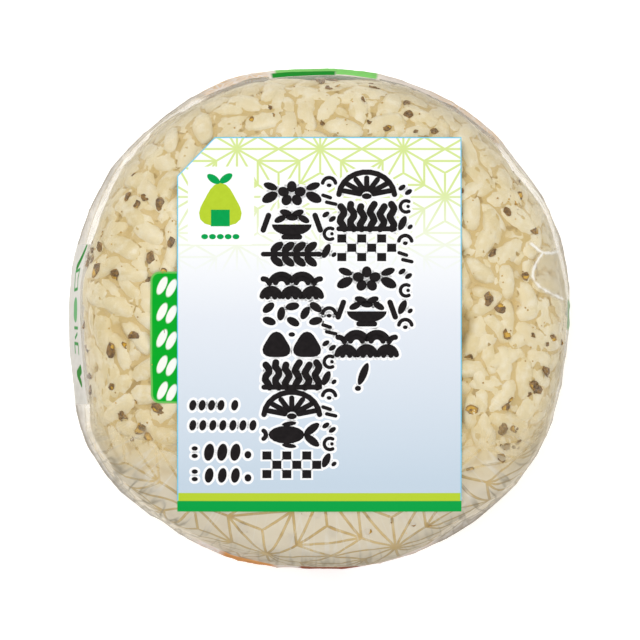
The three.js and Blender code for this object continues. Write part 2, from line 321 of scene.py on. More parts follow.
class NodeMaker:
    # writes the nodes of a tree; inputs are values or plain numbers
    def __init__(self, tree):
        self.tree = tree

    def add(self, kind, inputs=None, **settings):
        node = self.tree.nodes.new(kind)
        for key, value in settings.items():
            setattr(node, key, value)
        for key, value in (inputs or {}).items():
            if isinstance(value, Value):
                self.tree.links.new(value.socket, node.inputs[key])
            else:
                node.inputs[key].default_value = value
        return node

    def get(self, kind, inputs=None, output=0, **settings):
        return Value(self, self.add(kind, inputs, **settings).outputs[output])

    def outputs(self, kind, inputs=None, **settings):
        return {s.name: Value(self, s) for s in self.add(kind, inputs, **settings).outputs}

    def math(self, operation, a, b=0.0, clamp=False):
        return self.get("ShaderNodeMath", {0: a, 1: b}, operation=operation, use_clamp=clamp)

    def vector(self, operation, a, b=(0, 0, 0)):
        other = "Scale" if operation == "SCALE" else 1
        output = "Value" if operation in ("LENGTH", "DOT_PRODUCT") else "Vector"
        return self.get("ShaderNodeVectorMath", {0: a, other: b}, output, operation=operation)

    def join(self, x, y, z=0.0):
        return self.get("ShaderNodeCombineXYZ", {0: x, 1: y, 2: z})

    def mix(self, share, a, b):
        return self.get("ShaderNodeMix", {"Factor": share, 6: a, 7: b}, 2, data_type="RGBA")

    def lay(self, colour, layers):
        # lays colours over a colour, each through its mask
        for mask, ink in layers:
            colour = self.mix(mask, colour, ink)
        return colour

    def place(self):
        return self.get("ShaderNodeTexCoord", output="Object")

    def attribute(self, name):
        return self.get("ShaderNodeAttribute", output="Fac", attribute_name=name)

    def bump(self, height, strength, distance):
        return self.get("ShaderNodeBump", {"Height": height, "Strength": strength, "Distance": distance})

    def group(self, tree, inputs):
        return self.get("ShaderNodeGroup", inputs, node_tree=tree)

    def surface(self, inputs):
        shader = self.add("ShaderNodeBsdfPrincipled", inputs)
        output = self.add("ShaderNodeOutputMaterial")
        self.tree.links.new(shader.outputs[0], output.inputs[0])


def newMaterial(name):
    material = bpy.data.materials.new(name)
    material.use_nodes = True
    material.node_tree.nodes.clear()
    return material, NodeMaker(material.node_tree)


def newGroup(name, inputs, output="Geometry"):
    # an empty node group for geometry or for a number; its inputs are sizes, or named by their kind
    shape = output == "Geometry"
    tree = bpy.data.node_groups.new(name, "GeometryNodeTree" if shape else "ShaderNodeTree")
    for key, value in inputs.items():
        named = isinstance(value, str)
        socket = value if named else {tuple: "Vector", int: "Int", float: "Float"}[type(value)]
        made = tree.interface.new_socket(key, in_out="INPUT", socket_type=f"NodeSocket{socket}")
        if not named:
            made.default_value = value
    ending = "Geometry" if shape else "Float"
    tree.interface.new_socket(output, in_out="OUTPUT", socket_type=f"NodeSocket{ending}")
    nodes = NodeMaker(tree)
    return tree, nodes, nodes.outputs("NodeGroupInput")


def rgb(red, green, blue):
    # an sRGB colour, 0 to 255, as the linear values that Blender works in
    def linear(c):
        c /= 255
        return c / 12.92 if c <= 0.04045 else ((c + 0.055) / 1.055) ** 2.4

    return (linear(red), linear(green), linear(blue), 1.0)


studio = {
    "cameraHeight": 2.4,
    "frameWidth": 102.4 * mm,  # what is in view at the height of frameLevel
    "frameLevel": 30 * mm,
    "sensor": 36,
    "nearest": 50 * mm,
    "softboxes": [  # place, width, length, power
        ("key", (-0.44, 0.42, 1.28), 1.3, 1.3, 9.6),
        ("fill", (0.85, -0.35, 0.95), 1.1, 1.1, 4.0),
    ],
    "aim": (0, 0, 20 * mm),
    "zenith": 0.6,
    "horizon": 0.36,
    "floorHalf": 3,
    "floorGlow": 0.42,
}


def makeStudio():
    scene = bpy.context.scene
    camera = bpy.data.cameras.new("camera")
    camera.sensor_fit = "HORIZONTAL"
    camera.sensor_width = studio["sensor"]
    distance = studio["cameraHeight"] - studio["frameLevel"]
    camera.lens = studio["sensor"] * distance / studio["frameWidth"]
    camera.clip_start = studio["nearest"]
    view = bpy.data.objects.new("camera", camera)
    view.location = (0, 0, studio["cameraHeight"])
    scene.collection.objects.link(view)
    scene.camera = view

    for name, place, width, length, power in studio["softboxes"]:
        lamp = bpy.data.lights.new(name, "AREA")
        lamp.shape, lamp.size, lamp.size_y, lamp.energy = "RECTANGLE", width, length, power
        light = bpy.data.objects.new(name, lamp)
        light.location = place
        aim = Vector(studio["aim"]) - Vector(place)
        light.rotation_euler = aim.to_track_quat("-Z", "Y").to_euler()
        scene.collection.objects.link(light)

    world = bpy.data.worlds.new("studio")
    world.use_nodes = True
    nodes = NodeMaker(world.node_tree)
    up = nodes.get("ShaderNodeTexCoord", output="Generated").parts()[2]
    glow = up.ramp(0.0, 0.8, studio["horizon"], studio["zenith"])
    backdrop = world.node_tree.nodes["Background"]
    world.node_tree.links.new(glow.socket, backdrop.inputs["Strength"])
    backdrop.inputs["Color"].default_value = (1, 1, 1, 1)
    scene.world = world
    scene.view_settings.view_transform = "Standard"

    half = studio["floorHalf"]
    square = [(-half, -half, 0), (half, -half, 0), (half, half, 0), (-half, half, 0)]
    paper, nodes = newMaterial("floorPaper")
    nodes.surface({
        "Base Color": (0.9, 0.9, 0.9, 1), "Roughness": 0.9, "Emission Color": (1, 1, 1, 1),
        "Emission Strength": studio["floorGlow"],
    })
    floor = makePiece("floor", square, [(0, 1, 2, 3)], paper)


makeStudio()
say("studio ready")


rice = {
    "length": 7.2 * mm,
    "width": 3.7 * mm,
    "thickness": 2.7 * mm,
    "sides": 8,
    "rings": 8,
    "bend": 0.42 * mm,
    "plump": -0.17,  # how blunt the ends are
    "topSpacing": 4.1 * mm,
    "lowSpacing": 3.1 * mm,
    "topDepth": (0.95 * mm, 1.6 * mm),  # of the grains' middles under the ball's surface
    "lowDepth": (1.35 * mm, 2.1 * mm),
    "tilt": 0.2,
    "size": (0.88, 1.1),
    "flatten": 0.4 * mm,  # the tops within this of the film are pressed flat
    "unevenness": 0.35 * mm,
    "unevenScale": 16 * mm,
    "unevenSeed": 5,
    "deepest": 1.9 * mm,  # the depth at which its colour, painted shade included, is darkest
    "grid": 48,
    "underLabel": 3 * mm,  # how far grains reach under the label
    "seed": 12,
}
paste = {  # the soft rice between the grains: their tops smoothed, a little lower
    "grid": 112,
    "rounds": 7,
    "deepest": 2.0 * mm,
    "drop": 0.07 * mm,
    "bumps": 0.1 * mm,
    "bumpScale": 1.3 * mm,
    "leastDepth": 0.72,
    "seed": 8,
}
room = {  # kept free between what is inside and the label, its edge, the folds and the film
    "label": 0.15 * mm,
    "edge": 0.3 * mm,
    "folds": 0.05 * mm,
    "film": 0.1 * mm,
    "left": (-30 * mm, -15 * mm),  # where the left side, with fewer crumbs, begins to end
}


def riceMaterial():
    material, nodes = newMaterial("cookedRice")
    place = nodes.place()
    tone, depth = nodes.attribute("grainTone"), nodes.attribute("depth")
    # painted shade: dark spots in the deepest gaps between the grains
    gap = place.noise(420, 2, 0.6).ramp(0.58, 0.64) * depth.ramp(0.7, 0.73)
    colour = nodes.lay(nodes.mix(tone, rgb(223, 206, 160), rgb(232, 219, 182)), [
        (place.noise(700, 3, 0.6).ramp(0.45, 0.7, 0.0, 0.7), rgb(239, 231, 208)),
        (place.noise(170, 3, 0.6).ramp(0.5, 0.8, 0.0, 0.4), rgb(212, 188, 128)),
        # darker and yellower with depth: partly the seasoned rice's own colour, partly painted shade
        # between the grains
        (depth.ramp(0.3, 0.85, 0.0, 0.95), rgb(190, 162, 98)),
        (gap * 0.85, rgb(146, 112, 44)),
    ])
    # painted light: the deeper rice glows a little, standing in for light scattered through the grains into
    # the gaps, but not in the dark spots
    glow = nodes.mix(depth, rgb(0, 0, 0), rgb(224, 196, 134))
    nodes.surface({
        "Base Color": colour, "Roughness": 0.42,
        "Normal": nodes.bump(place.noise(3500, 2), 0.25, 0.05 * mm), "Specular IOR Level": 0.3,
        "Emission Color": nodes.mix(gap, glow, rgb(0, 0, 0)), "Emission Strength": 0.1,
    })
    return material


def roomShare(nodes):
    return nodes.get("GeometryNodeInputNamedAttribute", {"Name": "room"}, data_type="FLOAT")


def randomValue(nodes, seed, low=0.0, high=1.0):
    inputs = {2: low, 3: high, "Seed": seed}
    return nodes.get("FunctionNodeRandomValue", inputs, 1, data_type="FLOAT")


def turnedCopies(nodes, points, copy, facing, turns, size, toneName, tone):
    # copies at points, each turned on top of its facing, as one mesh with a tone for each
    turn = nodes.get("FunctionNodeEulerToRotation", {0: nodes.join(*turns)})
    rotation = nodes.get("FunctionNodeRotateRotation", {0: facing, 1: turn}, rotation_space="LOCAL")
    copies = nodes.get(
        "GeometryNodeInstanceOnPoints",
        {"Points": points, "Instance": copy, "Rotation": rotation, "Scale": size},
    )
    toned = nodes.get(
        "GeometryNodeStoreNamedAttribute",
        {"Geometry": copies, "Name": toneName, "Value": tone},
        data_type="FLOAT",
        domain="INSTANCE",
    )
    return nodes.get("GeometryNodeRealizeInstances", {"Geometry": toned})


def endTree(nodes, geometry, material):
    dressed = nodes.get("GeometryNodeSetMaterial", {"Geometry": geometry, "Material": material})
    nodes.add("NodeGroupOutput", {"Geometry": dressed})


def bakeTree(carrier, tree, values, name):
    # runs the tree on the carrier and keeps the result as a plain mesh
    modifier = carrier.modifiers.new("scatter", "NODES")
    modifier.node_group = tree
    for item in tree.interface.items_tree:
        if item.in_out == "INPUT" and item.name in values:
            modifier[item.identifier] = values[item.name]
    graph = bpy.context.evaluated_depsgraph_get()
    mesh = bpy.data.meshes.new_from_object(
        carrier.evaluated_get(graph), preserve_all_data_layers=True, depsgraph=graph
    )
    mesh.name = name
    piece = bpy.data.objects.new(name, mesh)
    bpy.context.scene.collection.objects.link(piece)
    bpy.data.objects.remove(carrier)
    return piece


def grainTree(material):
    tree, nodes, given = newGroup("scatterGrains", {
        "Geometry": "Geometry", "Spacing": rice["topSpacing"], "Depth From": rice["topDepth"][0],
        "Depth To": rice["topDepth"][1], "Seed": 1,
        **{key.capitalize(): rice[key] for key in ("length", "width", "thickness", "bend", "tilt")},
    })
    seed, tilt = given["Seed"], given["Tilt"]

    # one grain: a sphere drawn out along x, bent, with blunt ends
    inputs = {"Segments": rice["sides"], "Rings": rice["rings"], "Radius": 1.0}
    sphere = nodes.get("GeometryNodeMeshUVSphere", inputs, "Mesh")
    x, y, z = nodes.get("GeometryNodeInputPosition").parts()
    square = z * z
    plump = (1.0001 - square) ** rice["plump"]
    wide = x * plump * (given["Width"] * 0.5)
    tall = y * plump * (given["Thickness"] * 0.5)
    shaped = nodes.join(z * (given["Length"] * 0.5), wide, tall - square * given["Bend"])
    grain = nodes.get("GeometryNodeSetPosition", {"Geometry": sphere, "Position": shaped})

    spread = nodes.outputs("GeometryNodeDistributePointsOnFaces", {
        "Mesh": given["Geometry"], "Distance Min": given["Spacing"], "Density Max": 900000.0,
        "Density Factor": roomShare(nodes), "Seed": seed,
    }, distribute_method="POISSON")
    depth = randomValue(nodes, seed + 11, given["Depth From"], given["Depth To"])
    sunk = nodes.get(
        "GeometryNodeSetPosition",
        {"Geometry": spread["Points"], "Offset": spread["Normal"].scaled(depth * -1.0)},
    )
    turns = (
        randomValue(nodes, seed + 12, -0.5, 0.5),
        randomValue(nodes, seed + 13, tilt * -1.0, tilt),
        randomValue(nodes, seed + 14, 0.0, math.tau),
    )
    size = randomValue(nodes, seed + 15, *rice["size"])
    tone = randomValue(nodes, seed + 16)
    grains = turnedCopies(nodes, sunk, grain, spread["Rotation"], turns, size, "grainTone", tone)
    endTree(nodes, grains, material)
    return tree


def giveAttribute(piece, name, values):
    attribute = piece.data.attributes.new(name, "FLOAT", "POINT")
    attribute.data.foreach_set("value", values.astype(np.float32))


def giveRoom(piece, under, left=1.0):
    # marks where things may lie: nowhere well under the label, and fewer on the left
    points = corners(piece)
    hidden = insideLabel(points[:, 0], points[:, 1], -under) & (points[:, 2] > ball["middle"])
    share = np.interp(points[:, 0], room["left"], [left, 1.0])
    giveAttribute(piece, "room", np.where(hidden, 0.0, share))


def underLid(points):
    # keeps points above the folds on the back and below the label
    x, y, z = points.T
    lid = labelHigh.z - label["thickness"] - room["label"] - labelSag(x, y)
    lid = np.where(insideLabel(x, y, room["edge"]) & (z > ball["middle"]), lid, 1.0)
    points[:, 2] = np.clip(z, ball["foldThickness"] + room["folds"], lid)
    return points


def pressUnderFilm(points, soft):
    # what touches the film is pressed flat by it, on a slightly uneven ball, and by the label
    away, direction = awayFromBall(points)
    away += rice["unevenness"] * (smoothNoise(points, rice["unevenScale"], rice["unevenSeed"]) + 0.2)
    pressed = np.where(away > -soft, -soft + soft * np.tanh((away + soft) / soft), away)
    return fillOut(underLid(points + direction * (pressed - away)[:, None]))


def underFilm(points):
    # keeps what lies on the rice inside the film
    away, direction = awayFromBall(points)
    most = room["film"] + np.maximum(riceReach(points), 0)
    return underLid(points - direction * np.maximum(away - most, 0)[:, None])


def giveDepth(piece, least):
    # how deep each point lies under the ball's surface, from 0 to 1, for the rice's colour, its painted
    # shade and its painted glow
    away, _ = awayFromBall(corners(piece))
    giveAttribute(piece, "depth", np.clip(-away / rice["deepest"], least, 1))


def makeGrains(material):
    tree = grainTree(material)
    sizes = ((rice["topSpacing"], rice["topDepth"]), (rice["lowSpacing"], rice["lowDepth"]))
    layers = []
    for i, (spacing, (shallow, deep)) in enumerate(sizes):
        points, _, quads = ballShell(rice["grid"])
        carrier = makePiece(f"grainCarrier{i}", points, quads)
        giveRoom(carrier, rice["underLabel"])
        values = {"Spacing": spacing, "Depth From": shallow, "Depth To": deep, "Seed": rice["seed"] + i}
        layers.append(bakeTree(carrier, tree, values, f"grainLayer{i}"))
    with bpy.context.temp_override(
        active_object=layers[0], selected_objects=layers, selected_editable_objects=layers
    ):
        bpy.ops.object.join()
    grains = layers[0]
    grains.name = grains.data.name = "riceGrains"
    setCorners(grains, pressUnderFilm(corners(grains), rice["flatten"]))
    shadeSmooth(grains)
    giveDepth(grains, 0.0)
    return grains


def makePaste(material, grains):
    points, normals, quads = ballShell(paste["grid"])
    tops = np.maximum(reachOf([grains], points, normals, -1.0), -paste["deepest"])
    around, number = neighbours(quads, len(points))
    for _ in range(paste["rounds"]):
        tops = (tops + np.append(tops, 0.0)[around].sum(1) / number) / 2
    tops += paste["bumps"] * smoothNoise(points, paste["bumpScale"], paste["seed"]) - paste["drop"]
    core = makePiece("riceCore", points + normals * tops[:, None], quads, material)
    shadeSmooth(core)
    giveDepth(core, paste["leastDepth"])
    return core


flakes = {
    "Density": 36000.0,  # per square metre of the ball
    "Radius From": 0.42 * mm,
    "Radius To": 1.3 * mm,
    "Lean": 0.35,
    "Proud": 0.12 * mm,
    "Raggedness": 0.95 * mm,
    "Ragged Scale": 1400.0,
    "Seed": 5,
}
specks = {"Density": 90000.0, "Radius From": 0.07 * mm, "Radius To": 0.2 * mm, "Seed": 9}
chip = {"Vertices": 10, "Side Segments": 1, "Fill Segments": 2, "Radius": 1.0, "Depth": 0.26}
chipNarrowness = 0.68
crumbs = {
    "grid": 40,
    "underLabel": 1.5 * mm,
    "onLeft": 0.72,  # the share of them that the left side has
    "drop": 8 * mm,
}


def flakeMaterial():
    material, nodes = newMaterial("seaweedFlake")
    place = nodes.place()
    rim, tone = nodes.attribute("rim"), nodes.attribute("flakeTone")
    streaks = place.noise(1500, 3, 0.7).ramp(0.35, 0.65)
    dark = nodes.mix(streaks, rgb(70, 42, 8), rgb(150, 108, 34))
    gold = nodes.mix(rim.ramp(0.5, 1.0), rgb(214, 166, 30), rgb(150, 108, 14))
    share = place.noise(640, 1) + tone * 0.16
    nodes.surface({"Base Color": nodes.mix(share.ramp(0.64, 0.68), dark, gold), "Roughness": 0.4})
    return material


def speckMaterial():
    material, nodes = newMaterial("seasoningSpeck")
    colour = nodes.mix(nodes.attribute("speckTone"), rgb(212, 172, 84), rgb(158, 118, 46))
    nodes.surface({"Base Color": colour, "Roughness": 0.45})
    return material


def crumbTree(name, settings, material, makeCrumb, tone):
    # crumbs of any shape dropped inwards from the carrier onto the rice
    tree, nodes, given = newGroup(name, {
        "Geometry": "Geometry", "Rice": "Object", "Lean": 0.3, "Proud": 0.0, "Raggedness": 0.0,
        "Ragged Scale": 600.0, **settings,
    })
    seed, lean = given["Seed"], given["Lean"]
    spread = nodes.outputs(
        "GeometryNodeDistributePointsOnFaces",
        {"Mesh": given["Geometry"], "Density": given["Density"] * roomShare(nodes), "Seed": seed},
    )
    hit = nodes.outputs("GeometryNodeRaycast", {
        "Target Geometry": nodes.get("GeometryNodeObjectInfo", {"Object": given["Rice"]}, "Geometry"),
        "Ray Direction": spread["Normal"].scaled(-1.0), "Ray Length": crumbs["drop"],
    })
    landed = nodes.get("GeometryNodeSetPosition", {
        "Geometry": spread["Points"], "Selection": hit["Is Hit"], "Position": hit["Hit Position"],
        "Offset": hit["Hit Normal"].scaled(given["Proud"]),
    })
    facing = nodes.get("FunctionNodeAlignRotationToVector", {"Vector": hit["Hit Normal"]}, axis="Z")
    turns = (
        randomValue(nodes, seed + 21, lean * -1.0, lean),
        randomValue(nodes, seed + 22, lean * -1.0, lean),
        randomValue(nodes, seed + 23, 0.0, math.tau),
    )
    share = randomValue(nodes, seed + 24) ** 1.4
    size = share.ramp(0.0, 1.0, given["Radius From"], given["Radius To"])
    shape = makeCrumb(nodes)
    whole = turnedCopies(nodes, landed, shape, facing, turns, size, tone, randomValue(nodes, seed + 25))
    ragged = nodes.get("ShaderNodeTexNoise", {"Scale": given["Ragged Scale"], "Detail": 1.0}, "Color")
    shift = nodes.vector("SUBTRACT", ragged, (0.5, 0.5, 0.5))
    torn = nodes.get(
        "GeometryNodeSetPosition", {"Geometry": whole, "Offset": shift.scaled(given["Raggedness"])}
    )
    endTree(nodes, torn, material)
    return tree


def flakeChip(nodes):
    # a thin chip, with its share of the way to its edge kept as "rim"
    disc = nodes.get("GeometryNodeMeshCylinder", chip, "Mesh", fill_type="TRIANGLE_FAN")
    place = nodes.get("GeometryNodeInputPosition")
    marked = nodes.get(
        "GeometryNodeStoreNamedAttribute",
        {"Geometry": disc, "Name": "rim", "Value": (place * (1, 1, 0)).length()},
        data_type="FLOAT",
        domain="POINT",
    )
    narrow = place * (1, chipNarrowness, 1)
    return nodes.get("GeometryNodeSetPosition", {"Geometry": marked, "Position": narrow})


def speckBall(nodes):
    return nodes.get("GeometryNodeMeshIcoSphere", {"Radius": 1.0, "Subdivisions": 1}, "Mesh")


def scatterCrumbs(grains, name, settings, material, makeCrumb, tone):
    points, _, quads = ballShell(crumbs["grid"])
    carrier = makePiece(f"{name}Carrier", points, quads)
    giveRoom(carrier, crumbs["underLabel"], crumbs["onLeft"])
    tree = crumbTree(f"{name}Tree", settings, material, makeCrumb, tone)
    piece = bakeTree(carrier, tree, {"Rice": grains}, name)
    setCorners(piece, underFilm(corners(piece)))
    return piece


film = {
    "grid": 110,
    "rounds": 700,
    "step": 0.2 * mm,  # between the points of a pleat that hold the film out
    "gap": 0.09 * mm,  # between the grains' tops and the film
    "underLabel": 0.05 * mm,
    "labelHold": 0.1 * mm,  # how far inside the label's edge it starts to hold the film
    "labelSearch": (-3 * mm, 9 * mm),  # between these, along the normals, lies the label
    "halvings": 36,
    "inward": -4 * mm,  # how far the film may sink where nothing holds it out
    "sink": 0.02 * mm,  # into the folds that it rests on
    "rimHeight": 10.5 * mm,
    "pleatStep": (6, 16),  # degrees between the main pleats
    "pleatSwing": 0.16 * mm,
    "rimStep": 4,
    "rimSwing": 0.1 * mm,
    "rimRise": 0.6 * mm,
    "pleatSkew": 7,  # degrees between a pleat's foot and its top
    "pleatRise": 1.5 * mm,
    "pleatTop": (17 * mm, 25 * mm),
    "pleatSide": [(0.5 * mm, 1 / 3, 7 * mm), (2.4 * mm, 2 / 3, 4.8 * mm)],  # inset, turn, height
    "pleatFoot": [(32 * mm, 2.2 * mm), (27.5 * mm, 0.95 * mm)],  # radius and height
    "creases": 110,
    "creaseHeight": (0.08 * mm, 0.3 * mm),
    "creaseFrom": (12 * mm, 22 * mm),
    "creaseTo": (26 * mm, 34.5 * mm),
    "creaseLean": 5,
    "gathers": [(228, 24), (305, 24), (120, 30), (45, 30)],  # where creases crowd: degrees, spread
    "fork": [  # one large crease in the shape of a Y on the right shoulder, in millimetres
        [(33.8, 12.2), (34.8, 11.3), (35.7, 10.75), (36.9, 10.7), (38.1, 10.95)],
        [(35.7, 10.75), (35.0, 9.9), (34.4, 8.9), (34.05, 7.9), (34.0, 7.0)],
        [(34.0, 7.0), (34.35, 6.1), (35.1, 5.35), (36.2, 4.65), (37.5, 4.0), (38.9, 3.35)],
    ],
    "forkProud": 0.7 * mm,
    "shade": [  # degrees from +X and how strong the painted shade on the film is there
        (0, 0.8), (24, 0.9), (36, 0.6), (48, 0.9), (60, 1.0), (72, 1.0), (80, 0.4), (100, 0.4), (108, 0.6),
        (120, 1.0), (132, 0.9), (144, 0.7), (156, 0.7), (168, 0.25), (180, 0.3), (192, 0.4), (204, 0.7),
        (216, 0.8), (228, 0.6), (240, 0.7), (252, 1.0), (264, 1.5), (276, 1.6), (288, 1.6), (300, 1.4),
        (312, 1.2), (324, 1.4), (336, 1.1), (348, 1.1),
    ],
    "nearShade": 0.2,
    "clearShade": 0.22,
    "rimShades": ([0.1 * mm, 0.6 * mm, 1.2 * mm, 3.2 * mm], [1.6, 1.3, 0.8, 0.0]),  # inside the rim
    "lowShades": ([7 * mm, 11 * mm, 20 * mm, 24 * mm], [0.0, 0.7, 0.8, 1.0]),  # by height
    "clear": ([0.5 * mm, 1.0 * mm], [0.0, 1.0]),
    "slackFull": 1.2 * mm,
    "facet": (38.4, 7.3, 4.4),  # the smooth patch beside it, which has a painted sheen: middle and radius
    "seed": 31,
}


def rimRadius(azimuth):
    return ball["radius"] + reachOut(azimuth, 2)


def polar(radius, degrees, height):
    turn = math.radians(degrees)
    return np.array([radius * math.cos(turn), radius * math.sin(turn), height])


def ballPlace(degrees, height, proud=0.0):
    # a point of the ball's side at a height, proud of it by a little
    above = heightTable > height
    if height < ball["middle"]:
        at = np.argmax(above)
    else:
        at = len(above) - np.argmin(above[::-1]) - 1
    points, normals = onBall(np.array([math.radians(degrees)]), np.array([arcTable[at]]))
    return fillOut(points)[0] + normals[0] * proud


def pleatLines():
    # lines of film held out from the ball: the pleats round the rim and finer creases
    rng = np.random.default_rng(film["seed"])
    lines, rim = [], []
    at = 3.0
    while at < 360:
        swing = rng.uniform(-1, 1) * film["pleatSwing"]
        out = float(rimRadius(np.radians(at))) + swing
        height = film["rimHeight"] + rng.uniform(-1, 1) * film["pleatRise"]
        top = at + rng.uniform(-1, 1) * film["pleatSkew"]
        foot = at + rng.uniform(-1, 1) * film["pleatSkew"] * 0.5
        lines.append([ballPlace(top, rng.uniform(*film["pleatTop"])), polar(out, at, height)])
        lines.append([
            polar(out, at, height),
            *(polar(out - inset, at + (foot - at) * turn, z) for inset, turn, z in film["pleatSide"]),
            *(polar(radius, foot, z) for radius, z in film["pleatFoot"]),
        ])
        at += rng.uniform(*film["pleatStep"])
    for at in np.arange(0, 360, film["rimStep"]):
        out = float(rimRadius(np.radians(at))) + rng.uniform(-1, 1) * film["rimSwing"]
        turn = at + rng.uniform(-1, 1)
        rim.append(polar(out, turn, film["rimHeight"] + rng.uniform(-1, 1) * film["rimRise"]))
    lines.append([*rim, rim[0]])
    for _ in range(film["creases"]):
        centre, spread = film["gathers"][rng.integers(len(film["gathers"]))]
        start = rng.normal(centre, spread)
        proud = rng.uniform(*film["creaseHeight"])
        low, high = rng.uniform(*film["creaseFrom"]), rng.uniform(*film["creaseTo"])
        end = start + rng.normal(0, film["creaseLean"])
        lines.append([
            ballPlace(start + (end - start) * s, low + (high - low) * s, proud * (0.4 + 0.6 * s))
            for s in np.linspace(0, 1, 9)
        ])
    upper = slice(len(radiusTable) // 2, None)
    for branch in film["fork"]:
        x, y = np.array(branch).T * mm
        level = np.interp(-np.hypot(x, y), -radiusTable[upper], heightTable[upper])
        lines.append(list(np.stack([x, y, level + film["forkProud"]], 1)))
    return lines


def heightUnder(points, normals):
    # how far each point goes along its normal to reach the label's underside
    low, high = (np.full(len(points), end) for end in film["labelSearch"])
    for _ in range(film["halvings"]):
        middle = (low + high) / 2
        reached = points + normals * middle[:, None]
        sag = labelSag(reached[:, 0], reached[:, 1])
        sheet = labelHigh.z - label["thickness"] - film["underLabel"] - sag
        above = reached[:, 2] > sheet
        high = np.where(above, middle, high)
        low = np.where(above, low, middle)
    return middle


def rimShade(surface, loose):
    # how strong the painted shade on the film is: towards the rim, more where it stands clear
    turn = np.degrees(np.arctan2(surface[:, 1], surface[:, 0]))
    table = np.array(film["shade"])
    strength = np.interp(turn, table[:, 0], table[:, 1], period=360)
    inside = ball["radius"] + reachOut(np.radians(turn), 1) - np.hypot(surface[:, 0], surface[:, 1])
    near = np.interp(inside, *film["rimShades"])
    near[surface[:, 2] < ball["middle"]] = film["rimShades"][1][0]
    clear = np.interp(loose, *film["clear"])
    low = np.interp(surface[:, 2], *film["lowShades"])
    return strength * (film["nearShade"] * near + film["clearShade"] * clear) * low


def makeFilm(material, contents):
    azimuth, arc, quads = shellPlaces(film["grid"])
    points, normals = onBall(azimuth, arc)
    count = len(points)

    # what is inside holds the film out
    least = reachOf(contents, points, normals, film["inward"]) + film["gap"]

    # so do the pleats
    finder = KDTree(count)
    for i, point in enumerate(points):
        finder.insert(point, i)
    finder.balance()
    for line in pleatLines():
        for a, b in zip(line, line[1:]):
            steps = max(2, int(np.linalg.norm(b - a) / film["step"]))
            samples = a + (b - a) * np.linspace(0, 1, steps)[:, None]
            away, direction = awayFromBall(samples)
            for sample, foot in zip(samples, samples - direction * away[:, None]):
                i = finder.find(foot)[1]
                least[i] = max(least[i], (sample - points[i]) @ normals[i])

    # and the label holds it down
    pinned = heightUnder(points, normals)
    reached = points + normals * pinned[:, None]
    sealed = insideLabel(reached[:, 0], reached[:, 1], -film["labelHold"]) & (points[:, 2] > ball["middle"])

    around, number = neighbours(quads, count)
    height = np.where(sealed, pinned, least)
    drawn = np.zeros((count + 1, 3))
    for _ in range(film["rounds"]):
        drawn[:count] = points + normals * height[:, None]
        middle = drawn[around].sum(1) / number[:, None]
        height = np.maximum(((middle - points) * normals).sum(1), least)
        height[sealed] = pinned[sealed]
    surface = points + normals * height[:, None]
    surface[:, 2] = np.maximum(surface[:, 2], ball["foldThickness"] - film["sink"])

    piece = makePiece("clearFilm", surface, quads, material)
    shadeSmooth(piece)
    loose = awayFromBall(surface)[0] - riceReach(surface)
    giveAttribute(piece, "slack", np.clip(loose / film["slackFull"], 0, 1))
    giveAttribute(piece, "shade", rimShade(surface, loose))
    spread = np.stack([np.cos(azimuth), np.sin(azimuth)], 1) * (arcLength - arc)[:, None]
    layer = piece.data.uv_layers.new(name="print")
    loops = np.empty(len(piece.data.loops), np.int32)
    piece.data.loops.foreach_get("vertex_index", loops)
    layer.data.foreach_set("uv", spread[loops].astype(np.float32).ravel())
    return piece


def segmentGroup():
    ends = {"Point": (0, 0, 0), "From": (0, 0, 0), "To": (1, 0, 0)}
    tree, nodes, given = newGroup("segmentDistance", ends, "Distance")
    arm, line = given["Point"] - given["From"], given["To"] - given["From"]
    ahead, whole = (nodes.vector("DOT_PRODUCT", a, line) for a in (arm, line))
    share = nodes.math("DIVIDE", ahead, whole, clamp=True)
    nodes.add("NodeGroupOutput", {"Distance": (arm - line.scaled(share)).length()})
    return tree


segmentTree = segmentGroup()


def nearestLine(nodes, point, segments):
    # the distance from a point to the nearest of the segments, each given by its two ends
    nearest = None
    for start, end in segments:
        inputs = {"Point": point, "From": (*start, 0), "To": (*end, 0)}
        away = nodes.group(segmentTree, inputs)
        nearest = nearest.least(away) if nearest else away
    return nearest


def hempLeafGroup():
    # the lines of a hemp-leaf pattern, a star of twelve rays at its origin
    third, row = 1 / (2 * math.sqrt(3)), 2 / math.sqrt(3)
    segments = [
        ((0, 0), (1, 0)), ((0, 0), (0.5, third)), ((1, 0), (0.5, third)), ((0, 0), (0.5, 3 * third)),
        ((0, 0), (0, 2 * third)), ((0.5, third), (1, third)), ((0.5, third), (1, 2 * third)),
        ((0.5, third), (0.5, 3 * third)), ((0.5, third), (1, row)),
    ]
    sizes = {"Point": (0, 0, 0), "Origin": (0, 0, 0), "Unit": 10.0, "Line": 0.3, "Soft": 0.1}
    tree, nodes, given = newGroup("hempLeaf", sizes, "Line")

    def folded(part, span):
        scaled = part / given["Unit"]
        return abs(nodes.math("FLOORED_MODULO", scaled + span, 2 * span) - span)

    across, up, _ = (given["Point"] - given["Origin"]).parts()
    x, y = folded(across, 1.0), folded(up, row)
    flip = nodes.math("GREATER_THAN", y, row / 2)
    point = nodes.join(flip.ramp(0.0, 1.0, x, 1.0 - x), flip.ramp(0.0, 1.0, y, row - y))
    away = nearestLine(nodes, point, segments) * given["Unit"]
    half = given["Line"] * 0.5
    nodes.add("NodeGroupOutput", {"Line": away.ramp(half + given["Soft"], half)})
    return tree


def roundedBoxGroup():
    sizes = {"Point": (0, 0, 0), "Centre": (0, 0, 0), "Half": (1, 1, 0), "Corner": 0.5}
    tree, nodes, given = newGroup("roundedBox", sizes, "Distance")
    away = nodes.vector("ABSOLUTE", given["Point"] - given["Centre"])
    x, y = (part + given["Corner"] for part in (away - given["Half"]).parts()[:2])
    outside = nodes.join(x.most(0.0), y.most(0.0)).length()
    nodes.add("NodeGroupOutput", {"Distance": outside + x.most(y).least(0.0) - given["Corner"]})
    return tree


hempLeaf = hempLeafGroup()
roundedBox = roundedBoxGroup()


